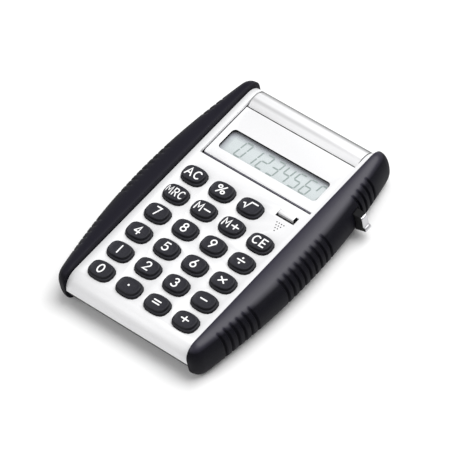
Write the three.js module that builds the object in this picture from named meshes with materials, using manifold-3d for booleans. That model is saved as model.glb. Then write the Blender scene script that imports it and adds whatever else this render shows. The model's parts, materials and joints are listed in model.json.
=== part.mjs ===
// Pocket calculator with a flip-up display, rubber side grips, a sliding catch and a side lever.
// Millimetres, +Z up. The origin is the middle of the flat back: X runs across the keys, Y runs up
// towards the display, and the back rests on Z = 0.
import * as THREE from 'three';
import { mergeVertices } from 'three/addons/utils/BufferGeometryUtils.js';
import Module from 'manifold-3d';

const wasm = await Module();
wasm.setup();

// ---- Driving dimensions -------------------------------------------------------------------------

const KEY_PITCH_X = 13.0; // centre to centre along a row
const KEY_PITCH_Y = 10.17; // centre to centre of the rows
const COLUMNS = 4;
const ROWS = 6;
const SIDE_MARGIN = 8.8; // last key column to the body's side
const NOSE_MARGIN = 10.6; // lowest key row to the rounded bottom end
const KEYPAD_TO_BAY = 10.0; // top key row to the edge of the display bay
const BAY_TO_HINGE = 30.4; // edge of the display bay to the hinge axis
const BODY_THICKNESS = 13.4; // flat back to silver face
const DRUM_RADIUS = 6.2; // hinge barrel, level with the face
const FACE_WALL = 1.4; // front face and back face
const SIDE_WALL = 1.5; // body side walls
const RAIL_WIDTH = 2.7; // rail on each side of the display bay
const NOSE_RADIUS = 6.2; // roll-over of the bottom end
const REAR_INSET = 0.6; // step back of the rear cover at the bottom end

const KEY_LENGTH = 10.0; // key base along X
const KEY_WIDTH = 7.6; // key base along Y
const KEY_HEIGHT = 2.2; // key top above the face
const KEY_TAPER = 0.6; // how much the top is smaller all round
const KEY_SHOULDER = 1.2; // start of the taper above the face
const KEY_FLANGE = 0.4; // retaining lip under the face, all round
const KEY_FLANGE_THICKNESS = 0.8;
const KEY_TRAVEL = 1.0;
const OVAL_POWER = 2.6; // roundness of the key outline

const PANEL_RECESS = 1.3; // display panel below the silver face
const PANEL_THICKNESS = 4.2;
const PANEL_SKIN = 0.9;
const PANEL_WALL = 1.3;
const PANEL_NOSE = 2.2; // rounded front edge of the display panel
const PANEL_CORNER = 2.0;
const WINDOW_WIDTH = 9.8;
const WINDOW_CORNER = 1.6;
const WINDOW_OFFSET = 5.3; // panel front edge to the window
const LENS_THICKNESS = 0.6;
const LENS_LAP = 1.15; // lens behind the window edge
const GLASS_THICKNESS = 1.0;
const PANEL_BACK_THICKNESS = 0.8;
const TRAY_WALL = 1.2; // floor of the display bay

const PIN_RADIUS = 1.0; // hinge pin
const DRUM_WALL = 1.4;
const DRUM_HUB = 2.0; // end wall of the drum
const CAP_THICKNESS = 1.6; // end cap of the drum

const GRIP_BULGE = 11.3; // grip width at its middle
const GRIP_END_WIDTH = 4.2; // grip width at its ends
const GRIP_PROUD = 2.5; // grip above the silver face
const GRIP_OVERHANG = 0.4; // grip past the body's ends
const GRIP_POWER = 2.4; // fullness of the grip section
const GRIP_END_RADIUS = 5.5; // rounding of the ends seen from the side
const GRIP_PLAN_RADIUS = 3.4; // rounding of the ends seen from above
const RIB_PITCH = 2.95;
const GROOVE_WIDTH = 1.3;
const GROOVE_DEPTH = 0.9;
const RIB_GROUPS = [[-0.63, 6], [0, 9], [0.66, 4]]; // [middle as a share of the half length, grooves]

const TAB_LENGTH = 6.9;
const TAB_WIDTH = 2.0;
const TAB_HEIGHT = 1.1; // catch above the face
const TAB_TRAVEL = 0.6;
const TAB_SIDE_GAP = 0.7; // slot beyond the catch along X
const TAB_ABOVE_ROW = 5.0; // top key row to the middle of the catch
const TAB_BASE_LIP = 1.0; // base plate beyond the slot
const TAB_BASE_THICKNESS = 0.8;
const SLOT_SKIN = 0.6; // face thickness around the slot

const LEVER_WIDTH = 3.0; // along Y
const LEVER_REACH = 13.0; // body side to the outer face of the lever
const LEVER_FROM_BAY = 11.1; // edge of the display bay to the middle of the lever
const LEVER_PIVOT_OUT = 5.0; // body side to the pivot
const LEVER_PIVOT_DROP = 2.4; // silver face down to the pivot
const LEVER_HUB = 1.5;
const LEVER_PIN_RADIUS = 0.6;
const LEVER_TOP_DROP = 1.7; // silver face down to the top of the lever
const LEVER_FOOT = 4.4; // rest plane up to the lever's outer foot
const LEVER_TOE = 1.0; // finger bump at the foot
const LUG_THICKNESS = 1.2;
const LUG_RADIUS = 1.7;

const SCREW_RADIUS = 0.8;
const SCREW_HEAD_RADIUS = 1.7;
const SCREW_HEAD_THICKNESS = 1.2;
const NOSE_SCREW_RECESS = 2.2; // lower screw heads, under the curve of the end
const BAY_SCREW_RECESS = 0.4; // upper screw heads
const POST_RADIUS = 2.0;
const REAR_POST_RADIUS = 2.7;
const POST_FROM_SIDE = 7.3; // body side to the screw posts
const POST_FROM_NOSE = 4.2; // bottom end to the lower screw posts
const POST_FROM_BAY = 6.0; // edge of the bay to the upper screw posts, under the tray

const MAT_THICKNESS = 0.7;
const MAT_PAD_RADIUS = 2.4;
const MAT_GAP = 0.15; // pressed key to its pad
const MAT_PAD_HEIGHT = 0.9;
const BOARD_THICKNESS = 1.2;
const BOARD_MARGIN = 3.4; // board beyond the outer key centres along Y
const BOARD_SIDE = 5.0; // board beyond the outer key centres along X
const CELL_RADIUS = 10.0;
const CELL_THICKNESS = 2.6;
const DOOR_LENGTH = 25.0;
const DOOR_WIDTH = 27.0;
const DOOR_THICKNESS = 1.1;
const DOOR_LAP = 1.2; // ledge that the battery door seats on
const CELL_ABOVE_ROW = 18.0; // lowest key row to the middle of the battery
const CELL_RING_WALL = 1.0;
const CONTACT_WIDTH = 5.0;
const CONTACT_LEAF = 0.2;

const SEAT_GAP = 0.2; // between fixed neighbours
const PARTING_GAP = 0.3; // front frame to rear cover
const RUN_GAP = 0.35; // around moving pieces
const KEY_GAP = 0.25; // key to its hole
const PIN_GAP = 0.08; // pin in its bore

// ---- Derived places -----------------------------------------------------------------------------

const HALF_WIDTH = ((COLUMNS - 1) / 2) * KEY_PITCH_X + SIDE_MARGIN;
const BODY_LENGTH = NOSE_MARGIN + (ROWS - 1) * KEY_PITCH_Y + KEYPAD_TO_BAY + BAY_TO_HINGE + DRUM_RADIUS;
const BOTTOM_END = -BODY_LENGTH / 2;
const TOP_END = BODY_LENGTH / 2;
const FIRST_ROW = BOTTOM_END + NOSE_MARGIN;
const LAST_ROW = FIRST_ROW + (ROWS - 1) * KEY_PITCH_Y;
const BAY_EDGE = LAST_ROW + KEYPAD_TO_BAY;
const HINGE_Y = BAY_EDGE + BAY_TO_HINGE;
const FACE = BODY_THICKNESS;
const HINGE_Z = FACE - DRUM_RADIUS;
const REAR_DEPTH = HINGE_Z - PARTING_GAP / 2;
const PLATE_UNDER = FACE - FACE_WALL;
const PARTING = REAR_DEPTH + PARTING_GAP;
const BAY_HALF = HALF_WIDTH - RAIL_WIDTH;
const PANEL_HALF = BAY_HALF - RUN_GAP;
const PANEL_TOP = FACE - PANEL_RECESS;
const PANEL_UNDER = PANEL_TOP - PANEL_THICKNESS;
const PANEL_FRONT = BAY_EDGE + 0.6;
const BAY_FLOOR = PANEL_UNDER - RUN_GAP;
const TRAY_UNDER = BAY_FLOOR - TRAY_WALL;
const ARM_ROOT = HINGE_Y - DRUM_RADIUS - FACE_WALL; // where the hinge arms leave the hollow body
const LENS_HALF = PANEL_HALF - PANEL_WALL - SEAT_GAP;
const WINDOW_HALF = LENS_HALF - LENS_LAP;
const WINDOW_Y = PANEL_FRONT + WINDOW_OFFSET + WINDOW_WIDTH / 2;
const COLUMN_X = (column) => (column - (COLUMNS - 1) / 2) * KEY_PITCH_X;
const ROW_Y = (row) => FIRST_ROW + row * KEY_PITCH_Y;
const KEY_UNDER = PLATE_UNDER - KEY_GAP - KEY_FLANGE_THICKNESS;
const PAD_TOP = KEY_UNDER - KEY_TRAVEL - MAT_GAP;
const MAT_TOP = PAD_TOP - MAT_PAD_HEIGHT;
const BOARD_TOP = MAT_TOP - MAT_THICKNESS - SEAT_GAP;
const BOARD_UNDER = BOARD_TOP - BOARD_THICKNESS;
const CELL_Y = FIRST_ROW + CELL_ABOVE_ROW;
const LEVER_Y = BAY_EDGE + LEVER_FROM_BAY;
const PIVOT_X = HALF_WIDTH + LEVER_PIVOT_OUT;
const PIVOT_Z = FACE - LEVER_PIVOT_DROP;
const TAB_X = COLUMN_X(COLUMNS - 1);
const TAB_Y = LAST_ROW + TAB_ABOVE_ROW;
const FAR = 100; // reaches past the body from any side

// ---- Solids -------------------------------------------------------------------------------------

function solidFrom(geometry, matrix = new THREE.Matrix4()) {
  const bare = geometry.clone();
  bare.deleteAttribute('normal');
  bare.deleteAttribute('uv');
  bare.applyMatrix4(matrix);
  const welded = mergeVertices(bare, 1e-5);
  return new wasm.Manifold(new wasm.Mesh({
    numProp: 3,
    vertProperties: new Float32Array(welded.attributes.position.array),
    triVerts: new Uint32Array(welded.index.array),
  }));
}

function geometryFrom(solid) {
  const mesh = solid.getMesh();
  const geometry = new THREE.BufferGeometry();
  geometry.setAttribute('position', new THREE.BufferAttribute(mesh.vertProperties, 3));
  geometry.setIndex(new THREE.BufferAttribute(mesh.triVerts, 1));
  geometry.computeVertexNormals();
  return geometry;
}

function box(x0, x1, y0, y1, z0, z1) {
  const geometry = new THREE.BoxGeometry(x1 - x0, y1 - y0, z1 - z0);
  return solidFrom(geometry, new THREE.Matrix4().makeTranslation((x0 + x1) / 2, (y0 + y1) / 2, (z0 + z1) / 2));
}

function extrude(shape, length, matrix) {
  const geometry = new THREE.ExtrudeGeometry(shape, { depth: length, bevelEnabled: false, curveSegments: 5 });
  return solidFrom(geometry, matrix);
}

// A shape drawn in (X, Y), raised from z0 to z1.
function extrudeUp(shape, z0, z1) {
  return extrude(shape, z1 - z0, new THREE.Matrix4().makeTranslation(0, 0, z0));
}

// A shape drawn in (Y, Z), drawn out from x0 to x1.
function extrudeAcross(shape, x0, x1) {
  const turn = new THREE.Matrix4().makeBasis(
    new THREE.Vector3(0, 1, 0), new THREE.Vector3(0, 0, 1), new THREE.Vector3(1, 0, 0));
  return extrude(shape, x1 - x0, new THREE.Matrix4().makeTranslation(x0, 0, 0).multiply(turn));
}

// A shape drawn in (X, Z), drawn out from y0 to y1.
function extrudeAlong(shape, y0, y1) {
  const turn = new THREE.Matrix4().makeBasis(
    new THREE.Vector3(1, 0, 0), new THREE.Vector3(0, 0, 1), new THREE.Vector3(0, -1, 0));
  return extrude(shape, y1 - y0, new THREE.Matrix4().makeTranslation(0, y1, 0).multiply(turn));
}

function rod(axis, radius, from, to, sides = 24) {
  const start = new THREE.Vector3(...from);
  const end = new THREE.Vector3(...to);
  const geometry = new THREE.CylinderGeometry(radius, radius, start.distanceTo(end), sides);
  const turn = new THREE.Matrix4();
  if (axis === 'x') turn.makeRotationZ(Math.PI / 2);
  if (axis === 'z') turn.makeRotationX(Math.PI / 2);
  const middle = start.add(end).multiplyScalar(0.5);
  return solidFrom(geometry, new THREE.Matrix4().makeTranslation(middle.x, middle.y, middle.z).multiply(turn));
}

function roundedRectangle(halfX, halfY, radius, cx = 0, cy = 0) {
  const shape = new THREE.Shape();
  shape.absarc(cx + halfX - radius, cy + halfY - radius, radius, 0, Math.PI / 2);
  shape.absarc(cx - halfX + radius, cy + halfY - radius, radius, Math.PI / 2, Math.PI);
  shape.absarc(cx - halfX + radius, cy - halfY + radius, radius, Math.PI, 1.5 * Math.PI);
  shape.absarc(cx + halfX - radius, cy - halfY + radius, radius, 1.5 * Math.PI, 2 * Math.PI);
  shape.closePath();
  return shape;
}

const power = (value, exponent) => Math.sign(value) * Math.abs(value) ** exponent;

// Keys are turned from a profile of [half length, z], then squeezed into the oval outline.
const OVAL_SEGMENTS = 16;

function oval(profile, cx, cy) {
  const points = profile.map(([half, z]) => new THREE.Vector2(half, z));
  const geometry = new THREE.LatheGeometry(points, OVAL_SEGMENTS);
  const position = geometry.attributes.position;
  for (let i = 0; i < position.count; i += 1) {
    const half = Math.hypot(position.getX(i), position.getZ(i));
    const angle = Math.atan2(position.getZ(i), position.getX(i));
    const narrow = Math.max(half - (KEY_LENGTH - KEY_WIDTH) / 2, 0);
    const x = half * power(Math.cos(angle), 2 / OVAL_POWER);
    const y = narrow * power(Math.sin(angle), 2 / OVAL_POWER);
    position.setXYZ(i, x, position.getY(i), y);
  }
  const place = new THREE.Matrix4().makeTranslation(cx, cy, 0);
  return solidFrom(geometry, place.multiply(new THREE.Matrix4().makeRotationX(Math.PI / 2)));
}

const group = new THREE.Group();

function add(name, solid, colour, roughness, metalness = 0) {
  const material = new THREE.MeshStandardMaterial({ color: colour, roughness, metalness });
  const mesh = new THREE.Mesh(geometryFrom(solid), material);
  mesh.name = name;
  group.add(mesh);
}

const SILVER = 0xd9dadd;
const RUBBER = 0x1d1d22;
const CHARCOAL = 0x2b2b30;
const BLACK = 0x151517;
const STEEL = 0xb4b6ba;

// ---- Body profiles in (Y, Z) --------------------------------------------------------------------

function frontProfile() {
  const shape = new THREE.Shape();
  const noseY = BOTTOM_END + NOSE_RADIUS;
  const noseZ = FACE - NOSE_RADIUS;
  const noseStart = Math.PI - Math.asin((PARTING - noseZ) / NOSE_RADIUS);
  const armEnd = Math.asin((PARTING - HINGE_Z) / DRUM_RADIUS);
  shape.absarc(HINGE_Y, HINGE_Z, DRUM_RADIUS, armEnd, Math.PI / 2);
  shape.absarc(noseY, noseZ, NOSE_RADIUS, Math.PI / 2, noseStart);
  shape.closePath();
  return shape;
}

// The back, set in by a wall thickness and carried up past the parting line by a rise.
function rearProfile(inset, rise = 0) {
  const shape = new THREE.Shape();
  const depth = REAR_DEPTH - inset;
  const noseY = BOTTOM_END + NOSE_RADIUS;
  const reach = NOSE_RADIUS - REAR_INSET - inset;
  shape.absellipse(noseY, REAR_DEPTH, reach, depth, Math.PI, 1.5 * Math.PI);
  shape.absellipse(HINGE_Y, REAR_DEPTH, DRUM_RADIUS - inset, depth, -Math.PI / 2, 0);
  if (rise > 0) {
    shape.lineTo(HINGE_Y + DRUM_RADIUS - inset, REAR_DEPTH + rise);
    shape.lineTo(noseY - reach, REAR_DEPTH + rise);
  }
  shape.closePath();
  return shape;
}

// ---- Screw posts --------------------------------------------------------------------------------

const POSTS = [];
for (const side of [-1, 1]) {
  const x = side * (HALF_WIDTH - POST_FROM_SIDE);
  POSTS.push({
    x, y: BOTTOM_END + POST_FROM_NOSE, head: NOSE_SCREW_RECESS, split: REAR_DEPTH, tip: FACE - 3.6,
    root: FACE - 0.3 * NOSE_RADIUS,
  });
  POSTS.push({
    x, y: BAY_EDGE + POST_FROM_BAY, head: BAY_SCREW_RECESS, split: 2.6, tip: BAY_FLOOR - 0.6, root: BAY_FLOOR - 0.4,
  });
}

// ---- Front frame --------------------------------------------------------------------------------

function drumSpace(clearance) {
  return rod('x', DRUM_RADIUS + clearance, [-BAY_HALF, HINGE_Y, HINGE_Z], [BAY_HALF, HINGE_Y, HINGE_Z], 40);
}

function leverLug(y) {
  const root = HALF_WIDTH - SIDE_WALL;
  const arm = box(root, PIVOT_X, y, y + LUG_THICKNESS, PIVOT_Z - LUG_RADIUS, PIVOT_Z + LUG_RADIUS);
  return arm.add(rod('y', LUG_RADIUS, [PIVOT_X, y, PIVOT_Z], [PIVOT_X, y + LUG_THICKNESS, PIVOT_Z], 16));
}

const LUG_GAP = LEVER_WIDTH / 2 + RUN_GAP;
const SPRING_SPACE = 1.9; // beside the lever hub, for its spring
const LUG_LOW = LEVER_Y - LUG_GAP - LUG_THICKNESS;
const LUG_HIGH = LEVER_Y + LUG_GAP + SPRING_SPACE;

function frontFrame() {
  let solid = extrudeAcross(frontProfile(), -HALF_WIDTH, HALF_WIDTH);
  const inner = HALF_WIDTH - SIDE_WALL;
  const noseInner = new THREE.Shape();
  const noseY = BOTTOM_END + NOSE_RADIUS;
  noseInner.absarc(noseY, FACE - NOSE_RADIUS, NOSE_RADIUS - FACE_WALL, Math.PI, Math.PI / 2, true);
  noseInner.lineTo(BAY_EDGE - TRAY_WALL, PLATE_UNDER);
  noseInner.lineTo(BAY_EDGE - TRAY_WALL, 0);
  noseInner.lineTo(noseY - NOSE_RADIUS + FACE_WALL, 0);
  noseInner.closePath();
  solid = solid.subtract(extrudeAcross(noseInner, -inner, inner));
  // Display bay between the rails, with its tray.
  solid = solid.subtract(box(-BAY_HALF, BAY_HALF, BAY_EDGE, FAR, 0, FAR));
  const trayHalf = inner - PARTING_GAP;
  let tray = box(-trayHalf, trayHalf, BAY_EDGE - TRAY_WALL, ARM_ROOT - PARTING_GAP, TRAY_UNDER, BAY_FLOOR);
  tray = tray.add(box(-trayHalf, trayHalf, BAY_EDGE - TRAY_WALL, BAY_EDGE, TRAY_UNDER, PLATE_UNDER));
  solid = solid.add(tray);
  for (const y of [LUG_LOW, LUG_HIGH]) solid = solid.add(leverLug(y));
  for (const { x, y, split, root, tip } of POSTS) {
    solid = solid.add(rod('z', POST_RADIUS, [x, y, split + PARTING_GAP], [x, y, root], 16));
    solid = solid.subtract(rod('z', SCREW_RADIUS + PIN_GAP, [x, y, 0], [x, y, tip + SEAT_GAP], 12));
  }
  // Openings.
  const hole = [[0, 0], [KEY_LENGTH / 2 + KEY_GAP, 0], [KEY_LENGTH / 2 + KEY_GAP, FAR], [0, FAR]];
  for (const key of KEYS) solid = solid.subtract(oval(hole, key.x, key.y));
  const slot = slotOutline();
  solid = solid.subtract(box(slot.x0, slot.x1, slot.y0, slot.y1, 0, FAR));
  const lip = TAB_BASE_LIP + RUN_GAP;
  solid = solid.subtract(box(slot.x0 - lip, slot.x1 + lip, slot.y0 - lip - TAB_TRAVEL, slot.y1 + lip,
    PLATE_UNDER - FACE_WALL, FACE - SLOT_SKIN));
  for (const side of [-1, 1]) {
    solid = solid.subtract(rod('x', PIN_RADIUS + PIN_GAP, [side * (HALF_WIDTH - 1), HINGE_Y, HINGE_Z],
      [side * BAY_HALF / 2, HINGE_Y, HINGE_Z], 20));
  }
  solid = solid.subtract(rod('y', LEVER_PIN_RADIUS + PIN_GAP, [PIVOT_X, LUG_LOW - 1, PIVOT_Z],
    [PIVOT_X, LUG_HIGH + LUG_THICKNESS + 1, PIVOT_Z], 16));
  return solid;
}

function slotOutline() {
  return {
    x0: TAB_X - TAB_LENGTH / 2 - TAB_SIDE_GAP,
    x1: TAB_X + TAB_LENGTH / 2 + TAB_SIDE_GAP,
    y0: TAB_Y - TAB_WIDTH / 2 - TAB_TRAVEL - RUN_GAP,
    y1: TAB_Y + TAB_WIDTH / 2 + RUN_GAP,
  };
}

// ---- Keys ---------------------------------------------------------------------------------------

const KEY_NAMES = [
  ['key_0', 'key_point', 'key_equals', 'key_plus'],
  ['key_1', 'key_2', 'key_3', 'key_minus'],
  ['key_4', 'key_5', 'key_6', 'key_times'],
  ['key_7', 'key_8', 'key_9', 'key_divide'],
  ['key_memory_recall', 'key_memory_minus', 'key_memory_plus', 'key_clear_entry'],
  ['key_all_clear', 'key_percent', 'key_root', null], // the catch takes the last place
];

const KEYS = [];
KEY_NAMES.forEach((names, row) => names.forEach((name, column) => {
  if (name) KEYS.push({ name, x: COLUMN_X(column), y: ROW_Y(row) });
}));

function keyCap({ x, y }) {
  const base = KEY_LENGTH / 2;
  return oval([
    [0, KEY_UNDER],
    [base + KEY_FLANGE, KEY_UNDER],
    [base + KEY_FLANGE, KEY_UNDER + KEY_FLANGE_THICKNESS],
    [base, KEY_UNDER + KEY_FLANGE_THICKNESS],
    [base, FACE + KEY_SHOULDER],
    [base - KEY_TAPER, FACE + KEY_HEIGHT],
    [0, FACE + KEY_HEIGHT],
  ], x, y);
}

// ---- Display ------------------------------------------------------------------------------------

function displayPanel() {
  const side = new THREE.Shape();
  side.moveTo(HINGE_Y, PANEL_UNDER);
  side.lineTo(HINGE_Y, PANEL_TOP);
  side.absarc(PANEL_FRONT + PANEL_NOSE, PANEL_TOP - PANEL_NOSE, PANEL_NOSE, Math.PI / 2, Math.PI);
  side.lineTo(PANEL_FRONT, PANEL_UNDER);
  side.closePath();
  let solid = extrudeAcross(side, -PANEL_HALF, PANEL_HALF);
  const middle = (PANEL_FRONT + FAR) / 2;
  const plan = roundedRectangle(PANEL_HALF, (FAR - PANEL_FRONT) / 2, PANEL_CORNER, 0, middle);
  solid = solid.intersect(extrudeUp(plan, 0, FAR));
  solid = solid.subtract(drumSpace(SEAT_GAP));
  solid = solid.subtract(box(-PANEL_HALF + PANEL_WALL, PANEL_HALF - PANEL_WALL, PANEL_FRONT + PANEL_NOSE,
    panelCavityEnd(), 0, PANEL_TOP - PANEL_SKIN));
  const opening = roundedRectangle(WINDOW_HALF, WINDOW_WIDTH / 2, WINDOW_CORNER, 0, WINDOW_Y);
  return solid.subtract(extrudeUp(opening, PANEL_TOP - 2 * PANEL_SKIN, FAR));
}

function panelCavityEnd() {
  return HINGE_Y - DRUM_RADIUS - SEAT_GAP - PANEL_WALL;
}

const LENS_TOP = PANEL_TOP - PANEL_SKIN - SEAT_GAP;
const GLASS_TOP = LENS_TOP - LENS_THICKNESS - SEAT_GAP;

function plateUnderWindow(top, thickness) {
  const outline = roundedRectangle(LENS_HALF, WINDOW_WIDTH / 2 + LENS_LAP, WINDOW_CORNER / 2, 0, WINDOW_Y);
  return extrudeUp(outline, top - thickness, top);
}

function displayBack() {
  const half = PANEL_HALF - PANEL_WALL - SEAT_GAP;
  return box(-half, half, PANEL_FRONT + PANEL_NOSE + SEAT_GAP, panelCavityEnd() - SEAT_GAP,
    PANEL_UNDER, PANEL_UNDER + PANEL_BACK_THICKNESS);
}

// ---- Hinge --------------------------------------------------------------------------------------

function hingeDrum() {
  const at = (x) => [x, HINGE_Y, HINGE_Z];
  const open = PANEL_HALF - DRUM_HUB;
  return rod('x', DRUM_RADIUS, at(-PANEL_HALF), at(PANEL_HALF), 40)
    .subtract(rod('x', DRUM_RADIUS - DRUM_WALL, at(-PANEL_HALF - 1), at(open), 32))
    .subtract(rod('x', PIN_RADIUS + PIN_GAP, at(0), at(FAR), 20));
}

function drumCap() {
  const at = (x) => [x, HINGE_Y, HINGE_Z];
  return rod('x', DRUM_RADIUS - DRUM_WALL - SEAT_GAP, at(-PANEL_HALF), at(-PANEL_HALF + CAP_THICKNESS), 32)
    .subtract(rod('x', PIN_RADIUS + PIN_GAP, at(-FAR), at(0), 20));
}

function hingePin() {
  const end = HALF_WIDTH - 1 - SEAT_GAP;
  return rod('x', PIN_RADIUS, [-end, HINGE_Y, HINGE_Z], [end, HINGE_Y, HINGE_Z], 20);
}

class Helix extends THREE.Curve {
  constructor(start, along, side, radius, length, turns) {
    super();
    this.start = start;
    this.along = along;
    this.side = side;
    this.up = new THREE.Vector3().crossVectors(along, side);
    this.radius = radius;
    this.length = length;
    this.turns = turns;
  }

  getPoint(t, target = new THREE.Vector3()) {
    const angle = 2 * Math.PI * this.turns * t;
    return target.copy(this.start)
      .addScaledVector(this.along, this.length * t)
      .addScaledVector(this.side, this.radius * Math.cos(angle))
      .addScaledVector(this.up, this.radius * Math.sin(angle));
  }
}

function coil(start, along, radius, length, turns, wire) {
  const side = Math.abs(along.x) > 0.5 ? new THREE.Vector3(0, 0, 1) : new THREE.Vector3(1, 0, 0);
  const section = new THREE.Shape();
  section.absarc(0, 0, wire, 0, 2 * Math.PI);
  const path = new Helix(start, along, side, radius, length, turns);
  const settings = { steps: 8 * turns, bevelEnabled: false, extrudePath: path, curveSegments: 2 };
  return solidFrom(new THREE.ExtrudeGeometry(section, settings));
}

const SPRING_TURNS = 5;
const SPRING_WIRE = 0.35;
const SPRING_PITCH = 1.0;

function hingeSpring() {
  const start = new THREE.Vector3(-PANEL_HALF + CAP_THICKNESS + 2 * SPRING_WIRE, HINGE_Y, HINGE_Z);
  return coil(start, new THREE.Vector3(1, 0, 0), 2 * PIN_RADIUS, SPRING_TURNS * SPRING_PITCH,
    SPRING_TURNS, SPRING_WIRE);
}

// ---- Grips --------------------------------------------------------------------------------------

const GRIP_HALF = BODY_LENGTH / 2 + GRIP_OVERHANG;
const GRIP_RISE = (FACE + GRIP_PROUD) / 2;
const GRIP_ROUND = 11; // corners of the section, crest to foot
const GRIP_STEP = 6.5; // spacing of the sections where the grip is smooth

const endRounding = (y, radius) => {
  const past = Math.max(Math.abs(y) - (GRIP_HALF - radius), 0);
  return radius - Math.sqrt(Math.max(radius * radius - past * past, 0));
};

// Width of the grip beyond the body's side at a station y.
function gripWidth(y) {
  const bow = GRIP_END_WIDTH + (GRIP_BULGE - GRIP_END_WIDTH) * (1 - (y / GRIP_HALF) ** 2);
  return bow - endRounding(y, GRIP_PLAN_RADIUS);
}

function gripHeight(y) {
  return GRIP_RISE - endRounding(y, GRIP_END_RADIUS);
}

// Sections from the bottom end to the top end, as [y, groove depth].
function gripStations() {
  const stations = [];
  for (const [middle, count] of RIB_GROUPS) {
    for (let i = 0; i < count; i += 1) {
      const y = middle * GRIP_HALF + (i - (count - 1) / 2) * RIB_PITCH;
      stations.push([y - GROOVE_WIDTH / 2, 0], [y, GROOVE_DEPTH], [y + GROOVE_WIDTH / 2, 0]);
    }
  }
  const plain = [0, 0.15, 0.6, 1.4, 2.6].flatMap((share) => {
    const y = GRIP_HALF - share * GRIP_PLAN_RADIUS / 2;
    return [y, -y];
  });
  for (let y = GRIP_STEP / 2; y < GRIP_HALF - GRIP_PLAN_RADIUS * 1.8; y += GRIP_STEP) plain.push(y, -y);
  const busy = (y) => stations.some(([other]) => Math.abs(other - y) < RIB_PITCH * 0.6);
  for (const y of plain.filter((value) => !busy(value))) stations.push([y, 0]);
  return stations.sort((first, second) => first[0] - second[0]);
}

function ribbedGrip() {
  const stations = gripStations();
  const last = stations.length - 1;
  const geometry = new THREE.CylinderGeometry(1, 1, 2, GRIP_ROUND, last);
  const position = geometry.attributes.position;
  const inner = HALF_WIDTH + SEAT_GAP;
  for (let i = 0; i < position.count; i += 1) {
    const onAxis = Math.hypot(position.getX(i), position.getZ(i)) < 0.5;
    const turn = Math.atan2(position.getX(i), position.getZ(i)) / (2 * Math.PI);
    const corner = (Math.round(turn * GRIP_ROUND) + GRIP_ROUND) % GRIP_ROUND;
    const angle = (Math.PI * corner) / (GRIP_ROUND - 1);
    const [y, groove] = stations[Math.round((last * (1 + position.getY(i))) / 2)];
    const outward = Math.max(Math.sin(angle), 0) ** (2 / GRIP_POWER);
    const width = gripWidth(y) * outward - groove * outward ** 4;
    const height = gripHeight(y) * power(Math.cos(angle), 2 / GRIP_POWER);
    position.setXYZ(i, inner + (onAxis ? gripWidth(y) / 2 : width), y, GRIP_RISE + (onAxis ? 0 : height));
  }
  return solidFrom(geometry);
}

function rightGrip() {
  const low = LEVER_FOOT - 2.6;
  const top = PIVOT_Z + LUG_RADIUS + RUN_GAP;
  const high = LUG_HIGH + LUG_THICKNESS + RUN_GAP;
  const mechanism = box(0, PIVOT_X + LUG_RADIUS + RUN_GAP, LUG_LOW - RUN_GAP, high, low, top);
  const lid = FACE - LEVER_TOP_DROP + RUN_GAP;
  const opening = box(PIVOT_X, FAR, LEVER_Y - LUG_GAP, LEVER_Y + LUG_GAP, low, lid);
  return ribbedGrip().subtract(mechanism).subtract(opening);
}

// ---- Side lever ---------------------------------------------------------------------------------

function sideLever() {
  const outer = HALF_WIDTH + LEVER_REACH;
  const top = FACE - LEVER_TOP_DROP;
  const paddle = new THREE.Shape();
  paddle.moveTo(PIVOT_X, top);
  paddle.lineTo(outer - 1.0, top);
  paddle.quadraticCurveTo(outer, top, outer, top - 1.0);
  paddle.lineTo(outer, LEVER_FOOT + 2.2);
  paddle.quadraticCurveTo(outer + LEVER_TOE, LEVER_FOOT + 1.8, outer + LEVER_TOE, LEVER_FOOT + 0.9);
  paddle.quadraticCurveTo(outer + LEVER_TOE * 0.8, LEVER_FOOT, outer - 0.3, LEVER_FOOT);
  paddle.lineTo(PIVOT_X + 4.2, LEVER_FOOT - 1.3);
  paddle.lineTo(PIVOT_X + 2.0, LEVER_FOOT + 1.2);
  paddle.lineTo(PIVOT_X - LEVER_HUB * 0.9, PIVOT_Z - 0.4);
  paddle.closePath();
  const y0 = LEVER_Y - LEVER_WIDTH / 2;
  const y1 = LEVER_Y + LEVER_WIDTH / 2;
  return extrudeAlong(paddle, y0, y1)
    .add(rod('y', LEVER_HUB, [PIVOT_X, y0, PIVOT_Z], [PIVOT_X, y1, PIVOT_Z], 16))
    .subtract(rod('y', LEVER_PIN_RADIUS + PIN_GAP, [PIVOT_X, y0 - 1, PIVOT_Z], [PIVOT_X, y1 + 1, PIVOT_Z], 16));
}

function leverPin() {
  return rod('y', LEVER_PIN_RADIUS, [PIVOT_X, LUG_LOW, PIVOT_Z],
    [PIVOT_X, LUG_HIGH + LUG_THICKNESS, PIVOT_Z], 12);
}

function leverSpring() {
  const wire = 0.2;
  const start = new THREE.Vector3(PIVOT_X, LEVER_Y + LEVER_WIDTH / 2 + 2 * wire, PIVOT_Z);
  return coil(start, new THREE.Vector3(0, 1, 0), LEVER_PIN_RADIUS + 2.4 * wire, SPRING_SPACE - 3 * wire, 3, wire);
}

// ---- Sliding catch ------------------------------------------------------------------------------

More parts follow.
